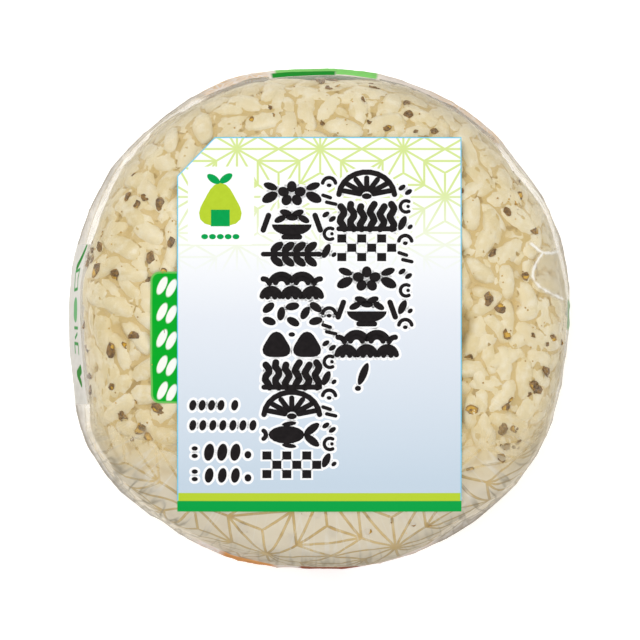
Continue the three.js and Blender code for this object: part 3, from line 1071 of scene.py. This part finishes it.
def hempLines(nodes, point, origin, unit, line, soft):
    inputs = {"Point": point, "Origin": origin, "Unit": unit, "Line": line, "Soft": soft}
    return nodes.group(hempLeaf, inputs)


def boxEdge(nodes, point, centre, half, corner):
    return nodes.group(roundedBox, {"Point": point, "Centre": centre, "Half": half, "Corner": corner})


filmPrintAndPaintedLight = {  # the print and the painted highlights and shade on the film, in millimetres along the film from the middle of its front
    "hempUnit": 10.4,
    "hempStar": (0.5, -24.9, 0),
    "hempTurn": 6.0,
    "hempSquash": 0.93,
    "gapLine": 0.29,
    "fineHemp": ((0, 0, 0), 5.4, 0.35, 0.15),  # the lines of the ends: star, unit, width, softness
    "veil": 0.74,
    "veilFrom": -12.0,
    "veilFull": -28.0,
    "haze": 0.035,
    "tabCentre": (-23.15, -2.8, 0),
    "tabHalf": (3.95, 10.5, 0),
    "tabCorner": 1.4,
    "markPitch": 4.2,
    "markPlace": (-24.5, 3.2),
    "markGrains": [((-0.75, 0.2, 0), 0.45), ((0.75, -0.2, 0), 0.45)],  # place and turn
    "sideFrom": 16.6,  # heights where the print on the sides starts
    "leftFrom": 21 * mm,
    "bars": [  # on the far side: degrees from and to, heights from and to, colour, how solid
        (-12.0, 14, 19.4, 4.0, (252, 240, 228), 0.85),
        (-10.2, 13.2, 13.4, 4.6, (136, 220, 116), 0.98),
        (3.6, 13.2, 17.4, 13.0, (136, 220, 116), 0.98),
        (-11.2, 3.6, 18.6, 13.0, (0, 146, 46), 1.0),
    ],
    "nearBars": [  # on the near side: degrees from and to, softness, colour
        (-23, -10.5, 1.0, (238, 160, 84)),
        (-4.7, 9, 0.4, (150, 58, 40)),
    ],
    "bandEnd": 27.0,  # how near the middle of the back the bands on the left and right end
    "bandSquash": 0.8,
    "bandMarks": [  # on the left side: colour, width, strokes as along and down the band
        ((0, 140, 44), 1.6, [
            ((12.4, 2.0), (9.6, 6.4)), ((-8.4, 3.2), (-9.6, 5.8)), ((-9.6, 5.8), (-10.8, 4.4)),
        ]),
        ((112, 186, 124), 2.9, [((2.6, 5.3), (1.0, 5.3))]),
        ((56, 158, 80), 0.6, [
            ((8.7, 3.8), (5.4, 3.8)), ((8.7, 6.8), (5.4, 6.8)), ((8.7, 3.8), (8.7, 6.8)),
            ((5.4, 3.8), (5.4, 6.8)), ((-1.4, 3.6), (-1.4, 6.2)), ((-2.4, 4.2), (-3.2, 6.0)),
            ((-4.2, 3.8), (-4.2, 6.6)), ((-4.2, 3.8), (-5.8, 3.8)), ((-4.2, 6.6), (-5.8, 6.6)),
        ]),
    ],
    "leftBand": (-13.6, 12.2, 0.15),  # along the sides: from, to, softness
    "rightBand": (-1.6, 3.3, 0.3),
    # the painted pleat highlights and shade: degrees, spread, weight
    "pleats": [(-134, 30, 0.75), (-47, 28, 0.7), (-90, 30, 0.5), (90, 300, 0.08)],
    # heights of the painted grey line along the film's rim, and its softness
    "rim": (9.6, 11.6, 0.6),
}


def arcFromFront(height):
    # millimetres along the outline from the middle of the front to the side at a height
    front = heightTable > ball["middle"]
    gap = np.where(front == (height > ball["middle"]), np.abs(heightTable - height), 1.0)
    return float(arcLength - arcTable[np.argmin(gap)]) / mm


def finishFilm(nodes, layers, clear, wrinkles, shade=None):
    # lays the layers over the clear film, print and painted highlights and shade alike: each is a mask, a
    # colour and how solid it is; a painted shade, where given, goes over them all
    colour = nodes.lay(rgb(255, 255, 255), [(mask, ink) for mask, ink, _ in layers])
    cover = 0.0
    for mask, _, solid in layers:
        cover = nodes.math("MAXIMUM", cover, nodes.math("MULTIPLY", mask, solid))
    if shade:
        mask, ink = shade
        both = cover + mask - cover * mask
        colour = nodes.mix(mask / both, colour, ink)
        cover = both
    facing = nodes.get("ShaderNodeLayerWeight", {"Blend": 0.5}, "Facing")
    bare = (facing**3.5 * 0.3 + clear) * (1.0 - cover)
    alpha = nodes.math("ADD", cover, bare, clamp=True)
    share = cover / alpha
    nodes.surface({
        "Base Color": nodes.mix(share, rgb(248, 243, 232), colour), "Metallic": 1.0 - share,
        "Roughness": share.ramp(0.0, 1.0, 0.09, 0.4), "Specular IOR Level": 0.0, "Alpha": alpha,
        "Normal": nodes.bump(wrinkles, 0.28, 0.1 * mm),
    })


def filmMaterial():
    material, nodes = newMaterial("clearFilm")
    place = nodes.place()
    point = nodes.get("ShaderNodeUVMap", uv_map="print").scaled(1000.0)
    wrinkles = place.noise(170, 2)
    place = place.scaled(1000.0)
    x, y, height = place.parts()
    u, v, _ = point.parts()
    reach = point.length()
    slack = nodes.attribute("slack")
    layers = [(1.0, rgb(236, 214, 156), filmPrintAndPaintedLight["haze"])]

    # white hemp-leaf veil over the lower part, its lines left clear
    star = filmPrintAndPaintedLight["hempStar"]
    upright = nodes.join(x, v * filmPrintAndPaintedLight["hempSquash"])
    leaning = upright.turned(math.radians(-filmPrintAndPaintedLight["hempTurn"]), star)
    lines = hempLines(nodes, leaning, star, filmPrintAndPaintedLight["hempUnit"], filmPrintAndPaintedLight["gapLine"], 0.12)
    low = v.ramp(filmPrintAndPaintedLight["veilFrom"], filmPrintAndPaintedLight["veilFull"]) ** 1.3 * height.ramp(9.0, 16.0)
    layers.append((low * lines, rgb(222, 192, 132), 0.5))
    layers.append((low * (1.0 - lines), rgb(236, 226, 204), filmPrintAndPaintedLight["veil"]))

    # on the rice's side: a dark painted shade line where the film leaves the rice, a pale grey painted
    # reflection where it stands clear, and a grey painted line along the rim
    side = reach.ramp(42.5, 47.0) * height.ramp(6.0, 10.0)
    patchy = point.noise(0.35).ramp(0.3, 0.5) * (reach.ramp(41.5, 43.0) * height.ramp(9.0, 11.0))
    layers.append((slack.between(0.38, 0.47, 0.06) * patchy, rgb(86, 80, 68), 0.7))
    layers.append((slack.ramp(0.45, 0.7) * side, rgb(230, 224, 216), 0.4))
    layers.append((height.between(*filmPrintAndPaintedLight["rim"]) * side, rgb(140, 132, 124), 0.4))

    # radiating pleats: painted highlights on the shoulder and painted shade towards the rim
    def degreesOf(sine, cosine):
        return nodes.math("ARCTAN2", sine, cosine) * (180 / math.pi)

    turn = degreesOf(v, u)
    spoke = nodes.vector("NORMALIZE", point).scaled(15.0) + point.scaled(0.05)
    wave = abs(spoke.noise(1.0, 1.0) - 0.5)
    gathered = 0.0
    for at, spread, weight in filmPrintAndPaintedLight["pleats"]:
        here = abs(turn - at).ramp(spread, 0.3 * spread) * weight
        gathered = here.most(gathered)
    ridge = wave.ramp(reach.ramp(36, 46, 0.03, 0.07), 0.004) * (gathered * reach.ramp(27, 36))
    layers.append((ridge * reach.ramp(44, 38), rgb(246, 242, 232), 0.5))
    layers.append((ridge * (reach.ramp(38, 43) * height.ramp(6.0, 11.0)), rgb(128, 120, 100), 0.75))

    # the sides: peach and pink ends with white lines, a green bar, a white band with green marks
    level = height + (point.noise(0.25) - 0.5) * 1.8
    printed = level.ramp(filmPrintAndPaintedLight["sideFrom"], filmPrintAndPaintedLight["sideFrom"] - 0.4)
    around = degreesOf(u, abs(v))
    top = nodes.math("GREATER_THAN", v, 0.0)
    lowSide = nodes.math("LESS_THAN", v, 0.0) * printed
    fine = hempLines(nodes, point, *filmPrintAndPaintedLight["fineHemp"])
    peach = nodes.mix(fine.most(around.between(10, 27, 2.5)), rgb(245, 214, 178), rgb(250, 238, 228))
    layers.append((top * printed * around.between(-28, 46, 1.5), peach, 0.9))
    pink = nodes.mix(fine, rgb(250, 224, 208), rgb(255, 248, 244))
    layers.append((lowSide * around.between(-30, 28, 1.5), pink, 0.8))
    for first, last, soft, ink in filmPrintAndPaintedLight["nearBars"]:
        layers.append((lowSide * around.between(first, last, soft), rgb(*ink), 0.9))
    for first, last, upper, lower, ink, solid in filmPrintAndPaintedLight["bars"]:
        zone = top * around.between(first, last, 0.3) * level.between(lower, upper, 0.15)
        layers.append((zone, rgb(*ink), solid))
    leftFrom, end = arcFromFront(filmPrintAndPaintedLight["leftFrom"]), filmPrintAndPaintedLight["bandEnd"]
    left = y.between(*filmPrintAndPaintedLight["leftBand"]) * reach.ramp(leftFrom, leftFrom + 0.3)
    left = left * x.ramp(-end, -end - 0.2)
    layers.append((left, rgb(240, 238, 232), 0.75))
    onBand = nodes.join(v * filmPrintAndPaintedLight["bandSquash"], reach - leftFrom)
    for ink, wide, strokes in filmPrintAndPaintedLight["bandMarks"]:
        away = nearestLine(nodes, onBand, strokes)
        layers.append((away.ramp(wide / 2 + 0.1, wide / 2 - 0.1) * left, rgb(*ink), 0.92))
    strip = y.between(*filmPrintAndPaintedLight["rightBand"]) * x.ramp(end, end + 0.2) * printed
    layers.append((strip, rgb(120, 170, 120), 0.6))

    # a painted highlight along the large crease on the right shoulder, and a painted sheen on the smooth
    # patch beside it
    flat = place * (1, 1, 0)
    creases = [ends for branch in film["fork"] for ends in zip(branch, branch[1:])]
    fold = nearestLine(nodes, flat, creases) + place.noise(0.9, 1.0) * 0.5
    high = height.ramp(13.0, 18.0)
    facetX, facetY, facetRadius = film["facet"]
    facet = (flat - (facetX, facetY, 0)).length().ramp(facetRadius, facetRadius - 0.6) * high
    layers.append((facet, rgb(226, 217, 192), 0.3))
    layers.append((fold.ramp(0.9, 0.28) ** 1.5 * high, rgb(255, 253, 246), 0.85))

    # green tab with white grains on it
    edge = boxEdge(nodes, point, filmPrintAndPaintedLight["tabCentre"], filmPrintAndPaintedLight["tabHalf"], filmPrintAndPaintedLight["tabCorner"])
    layers.append((edge.ramp(0.12, 0.0), rgb(112, 200, 96), 0.9))
    layers.append((edge.ramp(-0.2, -0.32), rgb(12, 172, 44), 0.98))
    (x0, y0), pitch = filmPrintAndPaintedLight["markPlace"], filmPrintAndPaintedLight["markPitch"]
    step = nodes.math("FLOORED_MODULO", v - y0, pitch) - pitch / 2
    local = nodes.join(u - x0, step)
    grain = 0.0
    for shift, lean in filmPrintAndPaintedLight["markGrains"]:
        size = ((local - shift).turned(lean) * (1 / 0.62, 1 / 1.5, 0)).length()
        grain = size.ramp(1.12, 0.92).most(grain)
    rows = v.between(y0 - 3.6 * pitch - 1.0, y0 + 0.9 * pitch, 0.1)
    layers.append((grain * rows, rgb(250, 252, 244), 0.98))

    clear = slack.ramp(0.0, 1.0, 0.025, 0.075)
    # painted shade towards the rim, patchy, laid over all the film's layers
    shade = nodes.attribute("shade") * point.noise(0.5, 2.0).ramp(0.35, 0.65, 0.7, 1.2)
    finishFilm(nodes, layers, clear, wrinkles, (shade, rgb(118, 102, 76)))
    return material


def foldMaterial():
    # the ends of the film tube, folded over the back: the same film, printed nearly all over
    material, nodes = newMaterial("foldedFilm")
    place = nodes.place()
    point = place.scaled(1000.0)
    x, y, _ = point.parts()
    lines = hempLines(nodes, point * (1, 1, 0), *filmPrintAndPaintedLight["fineHemp"])
    peach = nodes.mix(lines, rgb(250, 218, 184), rgb(255, 248, 240))
    bar = abs(x).ramp(9.5, 9.0) * (y.ramp(21.0, 21.4) * y.ramp(28.4, 28.0))
    layers = [(abs(y).ramp(0.0, 0.5), peach, 0.72), (bar, rgb(52, 176, 76), 0.9)]
    finishFilm(nodes, layers, 0.06, place.noise(380, 4))
    return material


def closedPlate(name, x, y, upper, lower, material):
    # rows run towards +y and columns towards +x
    rows, columns = x.shape
    layer = rows * columns
    vertices = np.concatenate([np.stack([x, y, z], -1).reshape(-1, 3) for z in (upper, lower)])
    grid = np.arange(layer).reshape(rows, columns)
    quads = np.stack([grid[:-1, :-1], grid[:-1, 1:], grid[1:, 1:], grid[1:, :-1]], -1).reshape(-1, 4)
    rim = np.concatenate([grid[0, :-1], grid[:-1, -1], grid[-1, :0:-1], grid[:0:-1, 0]])
    after = np.roll(rim, -1)
    walls = np.stack([rim + layer, after + layer, after, rim], -1)
    faces = np.concatenate([quads, quads[:, ::-1] + layer, walls])
    return makePiece(name, vertices, faces, material)


label |= {
    "columns": 32,
    "rowsBelowCut": 38,
    "rowsInCut": 5,
    "hemp": ((0.03, 27.3, 0), 6.64, 0.26, 0.09),  # star, unit, width of the lines, softness
    "hempShown": (7.5, 22.0),  # where the pattern begins to show and where it is full
    "shades": [(14.0, 0.0, (230, 235, 243)), (0.0, -26.0, (199, 215, 229))],  # from, to, colour
    "bars": [(-27.58, (187, 212, 52)), (-28.86, (0, 165, 70))],  # top edge, colour
    "barSoft": 0.08,
    "emblemTile": ((-15.8, 18.25, 0), (5.2, 6.15, 0), 0.5),  # middle, half size, corner
}


def labelMaterial():
    material, nodes = newMaterial("printedLabel")
    point = nodes.place().scaled(1000.0)
    flat = point * (1, 1, 0)
    x, y, _ = flat.parts()
    lines = hempLines(nodes, flat, *label["hemp"])
    tile = boxEdge(nodes, flat, *label["emblemTile"])
    halfX, halfY = label["width"] / 2 / mm, label["length"] / 2 / mm
    middleX, middleY = (c / mm for c in label["centre"])
    cutX, cutY = (c / mm for c in label["cut"])
    edge = boxEdge(nodes, flat, (middleX, middleY, 0), (halfX, halfY, 0), 0.05)
    toCut = 1.0 - ((x + (halfX - middleX)) / cutX + (halfY + middleY - y) / cutY)
    edge = edge.most(toCut * (cutX * cutY / math.hypot(cutX, cutY)))
    colour = nodes.lay(rgb(254, 254, 254), [
        *((y.ramp(start, full), rgb(*ink)) for start, full, ink in label["shades"]),
        (lines * (y.ramp(*label["hempShown"]) * 0.85), rgb(207, 228, 118)),
        (tile.ramp(0.15, 0.0), rgb(255, 255, 255)),
        *((y.ramp(top, top - label["barSoft"]), rgb(*ink)) for top, ink in label["bars"]),
        (edge.ramp(-0.2, -0.13) * y.ramp(-28.9, -28.8), rgb(104, 203, 240)),
    ])
    fibre = nodes.bump(point.noise(6, 3), 0.08, 0.02 * mm)
    nodes.surface({"Base Color": colour, "Roughness": 0.5, "Specular IOR Level": 0.1, "Normal": fibre})
    return material


def makeLabel(material):
    halfWidth, halfLength = label["width"] / 2, label["length"] / 2
    cutX, cutY = label["cut"]
    below = np.linspace(-halfLength, halfLength - cutY, label["rowsBelowCut"])
    within = np.linspace(halfLength - cutY, halfLength, label["rowsInCut"])[1:]
    y = np.concatenate([below, within])
    left = -halfWidth + np.maximum(0, (y - halfLength + cutY) / cutY) * cutX
    share = np.linspace(0, 1, label["columns"])
    x = left[:, None] + (halfWidth - left)[:, None] * share
    x, y = x + label["centre"][0], np.repeat(y[:, None], label["columns"], 1) + label["centre"][1]
    top = labelHigh.z - labelSag(x, y)
    return closedPlate("labelSheet", x, y, top, top - label["thickness"], material)


# The marks on the label are blobs and strokes in millimetres, each with its own middle and turn.
def turned(points, degrees):
    turn = math.radians(degrees)
    return points @ np.array([[math.cos(turn), math.sin(turn)], [-math.sin(turn), math.cos(turn)]])


def ellipse(x, y, wide, tall, turn=0.0):
    angle = np.linspace(0, math.tau, 16, endpoint=False)
    ring = np.stack([wide * np.cos(angle), tall * np.sin(angle)], 1)
    return (blob, turned(ring, turn) + (x, y))


def leaf(x, y, long, wide, turn=0.0):
    angle = np.linspace(0, math.tau, 18, endpoint=False)
    taper = np.abs(np.sin(angle)) ** 1.1 * np.sign(np.sin(angle))
    return (blob, turned(np.stack([long * np.cos(angle), wide * taper], 1), turn) + (x, y))


def box(x, y, halfWide, halfTall):
    signs = np.array([(-1, -1), (1, -1), (1, 1), (-1, 1)])
    return (blob, signs * (halfWide, halfTall) + (x, y))


def riceBall(x, y, size, tall):
    # a triangle with round corners
    angle = np.linspace(0, math.tau, 24, endpoint=False) + math.pi / 2
    out = 1 / (1 + 0.34 * (1 - np.cos(3 * (angle - math.pi / 2))) / 2)
    return (blob, np.stack([x + size * out * np.cos(angle), y + tall * out * np.sin(angle)], 1))


def arc(x, y, radius, start, end, half, squash=1.0):
    angle = np.radians(np.linspace(start, end, 12))
    path = np.stack([x + radius * np.cos(angle), y + radius * squash * np.sin(angle)], 1)
    return (stroke, path, half)


def line(points, half):
    points = np.array(points, float)
    steps = np.linspace(0, len(points) - 1, 4 * len(points))
    path = np.stack([np.interp(steps, np.arange(len(points)), points[:, i]) for i in (0, 1)], 1)
    return (stroke, path, half)


def pair(shape, x, y, long, wide, turn):
    # the same shape on the left and on the right, leaning in opposite ways
    return [shape(-x, y, long, wide, turn), shape(x, y, long, wide, -turn)]


def blossomMark():
    petals = [
        ellipse(1.3225 * math.cos(a), 1.12 * math.sin(a), 0.86, 0.74, math.degrees(a))
        for a in np.radians([90, 162, 234, 306, 18])
    ]
    return petals + pair(leaf, 3.3, -0.5, 1.3, 0.75, 28) + pair(leaf, 3.2, 1.15, 1.1, 0.55, -20)


def bowlMark():
    angle = np.linspace(math.pi, math.tau, 14)
    bowl = np.stack([3.0 * np.cos(angle), -0.05 + 1.7 * np.sin(angle)], 1)
    places = [(-1.75, 0.75, 25), (0, 1.0, -5), (1.8, 0.75, -30), (0.9, 1.65, 20), (-0.9, 1.7, -15)]
    heap = [ellipse(x, y, 0.95, 0.5, turn) for x, y, turn in places]
    sticks = [line([(side * 4.3, -0.9), (side * 3.5, 1.3)], 0.28) for side in (-1, 1)]
    return [(blob, bowl), line([(-1.2, -1.95), (1.2, -1.95)], 0.25), *heap, *sticks]


def sprigMark():
    leaves = [
        leaf(x, side * 1.05, 1.15, 0.62, side * 38) for x in (-2.25, -0.55, 1.15, 2.85) for side in (1, -1)
    ]
    return [*leaves, line([(-4.3, 0), (4.0, 0)], 0.22), leaf(4.0, 0, 0.7, 0.4)]


def waveMark():
    low = [arc(x, -2.0, r, 8, 172, half) for x in (-3.1, 0, 3.1) for r, half in ((1.35, 0.3), (0.55, 0.27))]
    high = [
        arc(x, *bow)
        for x in (-1.55, 1.55)
        for bow in ((-0.25, 1.75, 28, 152, 0.3), (-0.1, 0.95, 20, 160, 0.27))
    ]
    return [*low, *high, arc(-4.3, -0.2, 1.0, 20, 90, 0.28), arc(4.3, -0.2, 1.0, 90, 160, 0.28)]


def grainsMark():
    places = [
        (-3.5, 1.0, 40), (-3.4, -1.0, -20), (-1.6, 0.1, 80), (0.1, 1.2, 10),
        (0.2, -1.1, 150), (2.0, 0.2, 60), (3.6, 1.1, -35), (3.6, -1.0, 15),
    ]
    return [ellipse(x, y, 1.05, 0.6, turn) for x, y, turn in places]


def riceBallsMark():
    return [*(riceBall(x, -0.25, 2.3, 2.2) for x in (-2.3, 2.3)), ellipse(0, 1.5, 0.5, 0.35)]


def kelpMark():
    marks = [line([(-4.2, -1.9), (4.2, -1.9)], 0.25)]
    for k, x in enumerate((-3.7, -2.2, -0.7, 0.8, 2.3, 3.8)):
        tall = 1.8 if k % 2 else 1.45
        marks.append(line([(x + 0.35 * math.sin(2.6 * y + k), y) for y in np.linspace(-1.9, tall, 7)], 0.4))
    return marks


def fanMark():
    marks = [arc(0, -1.8, 4.2, 5, 175, 0.28, 0.88), ellipse(0, -1.75, 0.75, 0.45)]
    for a in np.radians([18, 42, 66, 90, 114, 138, 162]):
        cos, sin = math.cos(a), math.sin(a)
        marks.append(line([(1.1 * cos, -1.7 + sin), (4.0 * cos, -1.7 + 2.7 * sin)], 0.26))
    return marks


def fishMark():
    fins = [
        leaf(x, side * y, long, wide, side * turn)
        for x, y, long, wide, turn in ((3.0, 0.85, 1.4, 0.6, 38), (-0.4, 1.65, 1.1, 0.35, 8))
        for side in (1, -1)
    ]
    return [ellipse(-0.8, 0, 2.7, 1.35), *fins, arc(-4.6, 0, 0.7, -60, 60, 0.2)]


def checksMark():
    return [
        box(-3.75 + 1.5 * column, -1.4 + 1.4 * row, 0.68, 0.62)
        for row in range(3)
        for column in range(6)
        if (row + column) % 2 == 0
    ]


def smallMarks(kind):
    return [
        [leaf(-0.35, 0, 0.95, 0.45, 65), ellipse(0.6, -0.45, 0.36, 0.26, 40)],
        [arc(0, -0.25, 0.8, 10, 170, 0.2), ellipse(0, -0.4, 0.3, 0.24)],
        [line([(-0.75, 0.5), (0.15, 0.2)], 0.19), line([(-0.3, -0.35), (0.8, -0.6)], 0.19)],
        [ellipse(-0.4, 0.25, 0.5, 0.3, 35), ellipse(0.4, -0.3, 0.5, 0.3, 35)],
        [arc(0.1, 0, 0.7, 60, 300, 0.18), ellipse(0.35, 0, 0.22, 0.22)],
    ][kind % 5]


labelPrint = {
    "columns": [  # middle, top, pitch, marks
        (-4.5, 20.1, 4.8, [
            blossomMark, bowlMark, sprigMark, waveMark, grainsMark,
            riceBallsMark, kelpMark, fanMark, fishMark, checksMark,
        ]),
        (7.45, 21.6, 5.04, [fanMark, kelpMark, checksMark, blossomMark, bowlMark, waveMark]),
    ],
    "smallColumns": [(1.45, 22.0, 2.75, 5), (1.45, 1.2, 2.62, 10), (13.6, 20.8, 2.68, 9)],
    "dots": [  # height, then places along it
        (-13.6, (-20.3, -18.8, -17.3, -15.8, -13.6)),
        (-16.8, (-20.3, -18.7, -17.1, -15.5, -13.9, -12.3, -10.7)),
    ],
    "rows": [(-21.1, 1.0), (-24.8, 0.86)],  # height and size of the two rows with large dots
    "lastMark": (6.9, -8.9),
    "halo": 0.42,
    "sunk": 0.02 * mm,
}


def placed(marks, x, y, grow=1.0, bolder=0.0):
    return [
        (kind, shape * grow + (x, y), *(half + bolder for half in rest)) for kind, shape, *rest in marks
    ]


def blackPrint():
    marks = placed([leaf(0, 0.3, 1.9, 0.62, 68), ellipse(-0.85, -2.0, 0.5, 0.42)], *labelPrint["lastMark"])
    for x, top, pitch, column in labelPrint["columns"]:
        for k, mark in enumerate(column):
            marks += placed(mark(), x, top - k * pitch, 1.06, 0.16)
    for x, top, pitch, number in labelPrint["smallColumns"]:
        for k in range(number):
            marks += placed(smallMarks(k + int(x)), x, top - k * pitch, 1.3, 0.1)
    for y, places in labelPrint["dots"]:
        marks += [ellipse(x, y, 0.56, 0.86, -12) for x in places]
    for y, size in labelPrint["rows"]:
        marks += [ellipse(x, y, 0.8 * size, 1.4 * size, -10) for x in (-17.7, -15.6, -13.5)]
        marks += [ellipse(-20.0, y + up, 0.5, 0.36) for up in (0.6, -0.6)]
        marks.append(ellipse(-11.5, y - 0.4, 0.55, 0.6))
    return marks


def blob(outline, grow):
    # rings of faces inside an outline: the points, the faces and the outer ring
    centre = outline.mean(0)
    arm = outline - centre
    arm = arm * (1 + grow / np.linalg.norm(arm, axis=1))[:, None]
    n, shares = len(outline), (1.0, 0.62, 0.28)
    flat = np.concatenate([centre + arm * share for share in shares] + [centre[None]])
    faces = [
        (k + i, k + (i + 1) % n, k + n + (i + 1) % n, k + n + i)
        for k in range(0, n * (len(shares) - 1), n)
        for i in range(n)
    ]
    last = (len(shares) - 1) * n
    faces += [(last + i, last + (i + 1) % n, last + n) for i in range(n)]
    return flat, faces, list(range(n))


def stroke(path, half, grow):
    # a line with round ends
    half += grow
    along = np.gradient(path, axis=0)
    along /= np.linalg.norm(along, axis=1)[:, None]
    caps = np.radians((75, 50, 25))
    before = [path[0] - along[0] * half * math.sin(c) for c in caps]
    behind = [path[-1] + along[-1] * half * math.sin(c) for c in caps[::-1]]
    middle = np.concatenate([before, path, behind])
    along = np.concatenate([[along[0]] * 3, along, [along[-1]] * 3])
    width = np.concatenate([half * np.cos(caps), np.full(len(path), half), half * np.cos(caps[::-1])])
    across = np.stack([-along[:, 1], along[:, 0]], 1) * width[:, None]
    n = len(middle)
    faces = [(i, i + 1, n + i + 1, n + i) for i in range(n - 1)]
    rim = [*range(n), *range(2 * n - 1, n - 1, -1)]
    return np.concatenate([middle - across, middle + across]), faces, rim


def printPiece(name, lift, marks, inkName, inks, grow=0.0):
    # lays flat marks on the label as one thin mesh
    vertices, faces = [], []
    for kind, shape, *rest in marks:
        flat, tops, rim = kind(shape, *rest, grow)
        sheet = labelHigh.z - labelSag(flat[:, 0] * mm, flat[:, 1] * mm)
        base = len(vertices)
        under = base + len(flat)
        for up in (lift, -labelPrint["sunk"]):
            vertices += [(x * mm, y * mm, z + up) for (x, y), z in zip(flat, sheet)]
        faces += [[base + i for i in face] for face in tops]
        faces += [[under + i for i in reversed(face)] for face in tops]
        faces += [(under + a, under + b, base + b, base + a) for a, b in zip(rim, [*rim[1:], rim[0]])]
    material, nodes = newMaterial(inkName)
    tone = nodes.mix(nodes.place().noise(1400, 2).ramp(0.3, 0.7), *(rgb(*colour) for colour in inks))
    nodes.surface({"Base Color": tone, "Roughness": 0.55, "Specular IOR Level": 0.05})
    return makePiece(name, vertices, faces, material)


def makePrint():
    black = blackPrint()
    band = [box(-15.9, 16.275, 1.5, 1.325)]
    band += [leaf(-15.0, 22.6, 1.2, 0.6, 35), leaf(-17.0, 22.5, 1.2, 0.6, 145)]
    band += [ellipse(x, 13.3, 0.55, 0.42) for x in (-18.4, -17.15, -15.9, -14.65, -13.4)]
    emblem = [riceBall(-15.9, 18.0, 3.7, 3.9)]
    white, dark = ((255, 255, 255), (252, 252, 252)), ((36, 32, 33), (28, 25, 26))
    lime, green = ((187, 212, 52), (182, 207, 48)), ((0, 165, 80), (0, 158, 76))
    return [
        printPiece("labelHalo", 0.01 * mm, black, "whiteInk", white, labelPrint["halo"]),
        printPiece("labelMarks", 0.03 * mm, black, "blackInk", dark),
        printPiece("labelEmblem", 0.015 * mm, emblem, "limeInk", lime),
        printPiece("labelEmblemBand", 0.03 * mm, band, "greenInk", green),
    ]


folds = {
    "reach": 31 * mm,
    "rimHalf": 24 * mm,
    "rimRadius": 34 * mm,
    "shoulder": 1.35,  # how soon a fold reaches its full width
    "tips": [("topFold", 1, 7 * mm, 15 * mm), ("lowerFold", -1, 5 * mm, 17 * mm)],
    "sheet": 0.12 * mm,
    "crimpLength": 6 * mm,
    "crimpPitch": 1.3 * mm,
    "rows": 58,
    "columns": 61,
    "edgeWave": 0.012,
    "edgeWaves": 23,
    "sway": 0.5 * mm,
    "waveScale": 9 * mm,
    "waveSeed": 40,
    "wavesApart": 7 * mm,  # between the waves of the two folds and the middle
    "gatherScale": 2.4 * mm,
    "lifts": (0.07 * mm, 0.08 * mm, 0.06 * mm),  # of the waves, the gathers and the crimp
    "underFilm": 0.55 * mm,
    "seamHalf": (3 * mm, 24 * mm),
    "seamGrid": (13, 180),
    "seamRidge": 0.03 * mm,
    "seamPitch": 1.08 * mm,
    "seamDepth": 0.12 * mm,
    "seamSheet": (0.04 * mm, 0.05 * mm),
}


def filmUnder(piece):
    # the height of the film's underside over any point
    start, span = Vector((0, 0, -10 * mm)), 30 * mm
    faces = [tuple(face.vertices) for face in piece.data.polygons]
    tree = BVHTree.FromPolygons(corners(piece).tolist(), faces)

    def height(x, y):
        found = tree.ray_cast(start + Vector((x, y, 0)), Vector((0, 0, 1)), span)
        return found[0].z if found[0] is not None else ball["foldThickness"]

    return np.vectorize(height)


def makeFolds(underside, material):
    pieces = []
    for name, side, tip, tipHalf in folds["tips"]:
        share = np.linspace(0, 1, folds["rows"])
        y = side * (tip + (folds["reach"] - tip) * share)
        taper = tipHalf + (folds["rimHalf"] - tipHalf) * np.minimum(1, share * folds["shoulder"])
        half = np.minimum(taper, np.sqrt(folds["rimRadius"] ** 2 - y**2))
        half *= 1 + folds["edgeWave"] * np.sin(share * folds["edgeWaves"] + side)
        x = half[:, None] * np.linspace(-1, 1, folds["columns"])
        y = y[:, None] + side * folds["sway"] * np.sin(x / half.max() * 4 + side)
        flat = np.stack([x.ravel(), y.ravel(), np.full(x.size, side * folds["wavesApart"])], 1)
        wave = smoothNoise(flat, folds["waveScale"], folds["waveSeed"] + side).reshape(x.shape)
        gather = np.sin(x / folds["gatherScale"] + 2 * wave) * np.clip(share * 1.6 - 0.3, 0, 1)[:, None]
        crimped = share[:, None] * (folds["reach"] - tip) < folds["crimpLength"]
        crimp = np.where(crimped, np.sin(y / folds["crimpPitch"] * math.tau), 0)
        lift = sum(high * part for high, part in zip(folds["lifts"], (wave, gather, crimp)))
        middle = underside(x, y) - folds["underFilm"] + lift
        order = slice(None) if side > 0 else slice(None, None, -1)
        upper = np.clip(middle + folds["sheet"] / 2, folds["sheet"], None)
        lower = np.clip(middle - folds["sheet"] / 2, 0, None)
        pieces.append(closedPlate(name, *(a[order] for a in (x, y, upper, lower)), material))
    return pieces


def makeSeam(material):
    spans = zip(folds["seamHalf"], folds["seamGrid"])
    x, y = np.meshgrid(*(np.linspace(-half, half, number) for half, number in spans))
    ridge = folds["seamRidge"] * np.sin(y / folds["seamPitch"] * math.tau)
    middle = ball["foldThickness"] - folds["seamDepth"] + ridge
    upper, lower = folds["seamSheet"]
    return closedPlate("backSeam", x, y, middle + upper, middle - lower, material)


riceLook = riceMaterial()
riceGrains = makeGrains(riceLook)
riceCore = makePaste(riceLook, riceGrains)
say("rice", riceGrains)
seaweedFlakes = scatterCrumbs(riceGrains, "seaweedFlakes", flakes, flakeMaterial(), flakeChip, "flakeTone")
seasoningSpecks = scatterCrumbs(
    riceGrains, "seasoningSpecks", specks, speckMaterial(), speckBall, "speckTone"
)
say("seaweed", seaweedFlakes)
say("seasoning", seasoningSpecks)
clearFilm = makeFilm(filmMaterial(), [riceGrains, riceCore, seaweedFlakes, seasoningSpecks])
say("film", clearFilm)
labelSheet = makeLabel(labelMaterial())
printPieces = makePrint()
say("label", labelSheet)
underside = filmUnder(clearFilm)
foldLook = foldMaterial()
backPieces = [*makeFolds(underside, foldLook), makeSeam(foldLook)]
say("back")

for piece in (labelSheet, *printPieces):
    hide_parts("front_label")
    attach(piece, "root")
for piece in (riceGrains, riceCore, seaweedFlakes, seasoningSpecks, clearFilm, *backPieces):
    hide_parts("wrapped_rice_ball")
    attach(piece, "root")
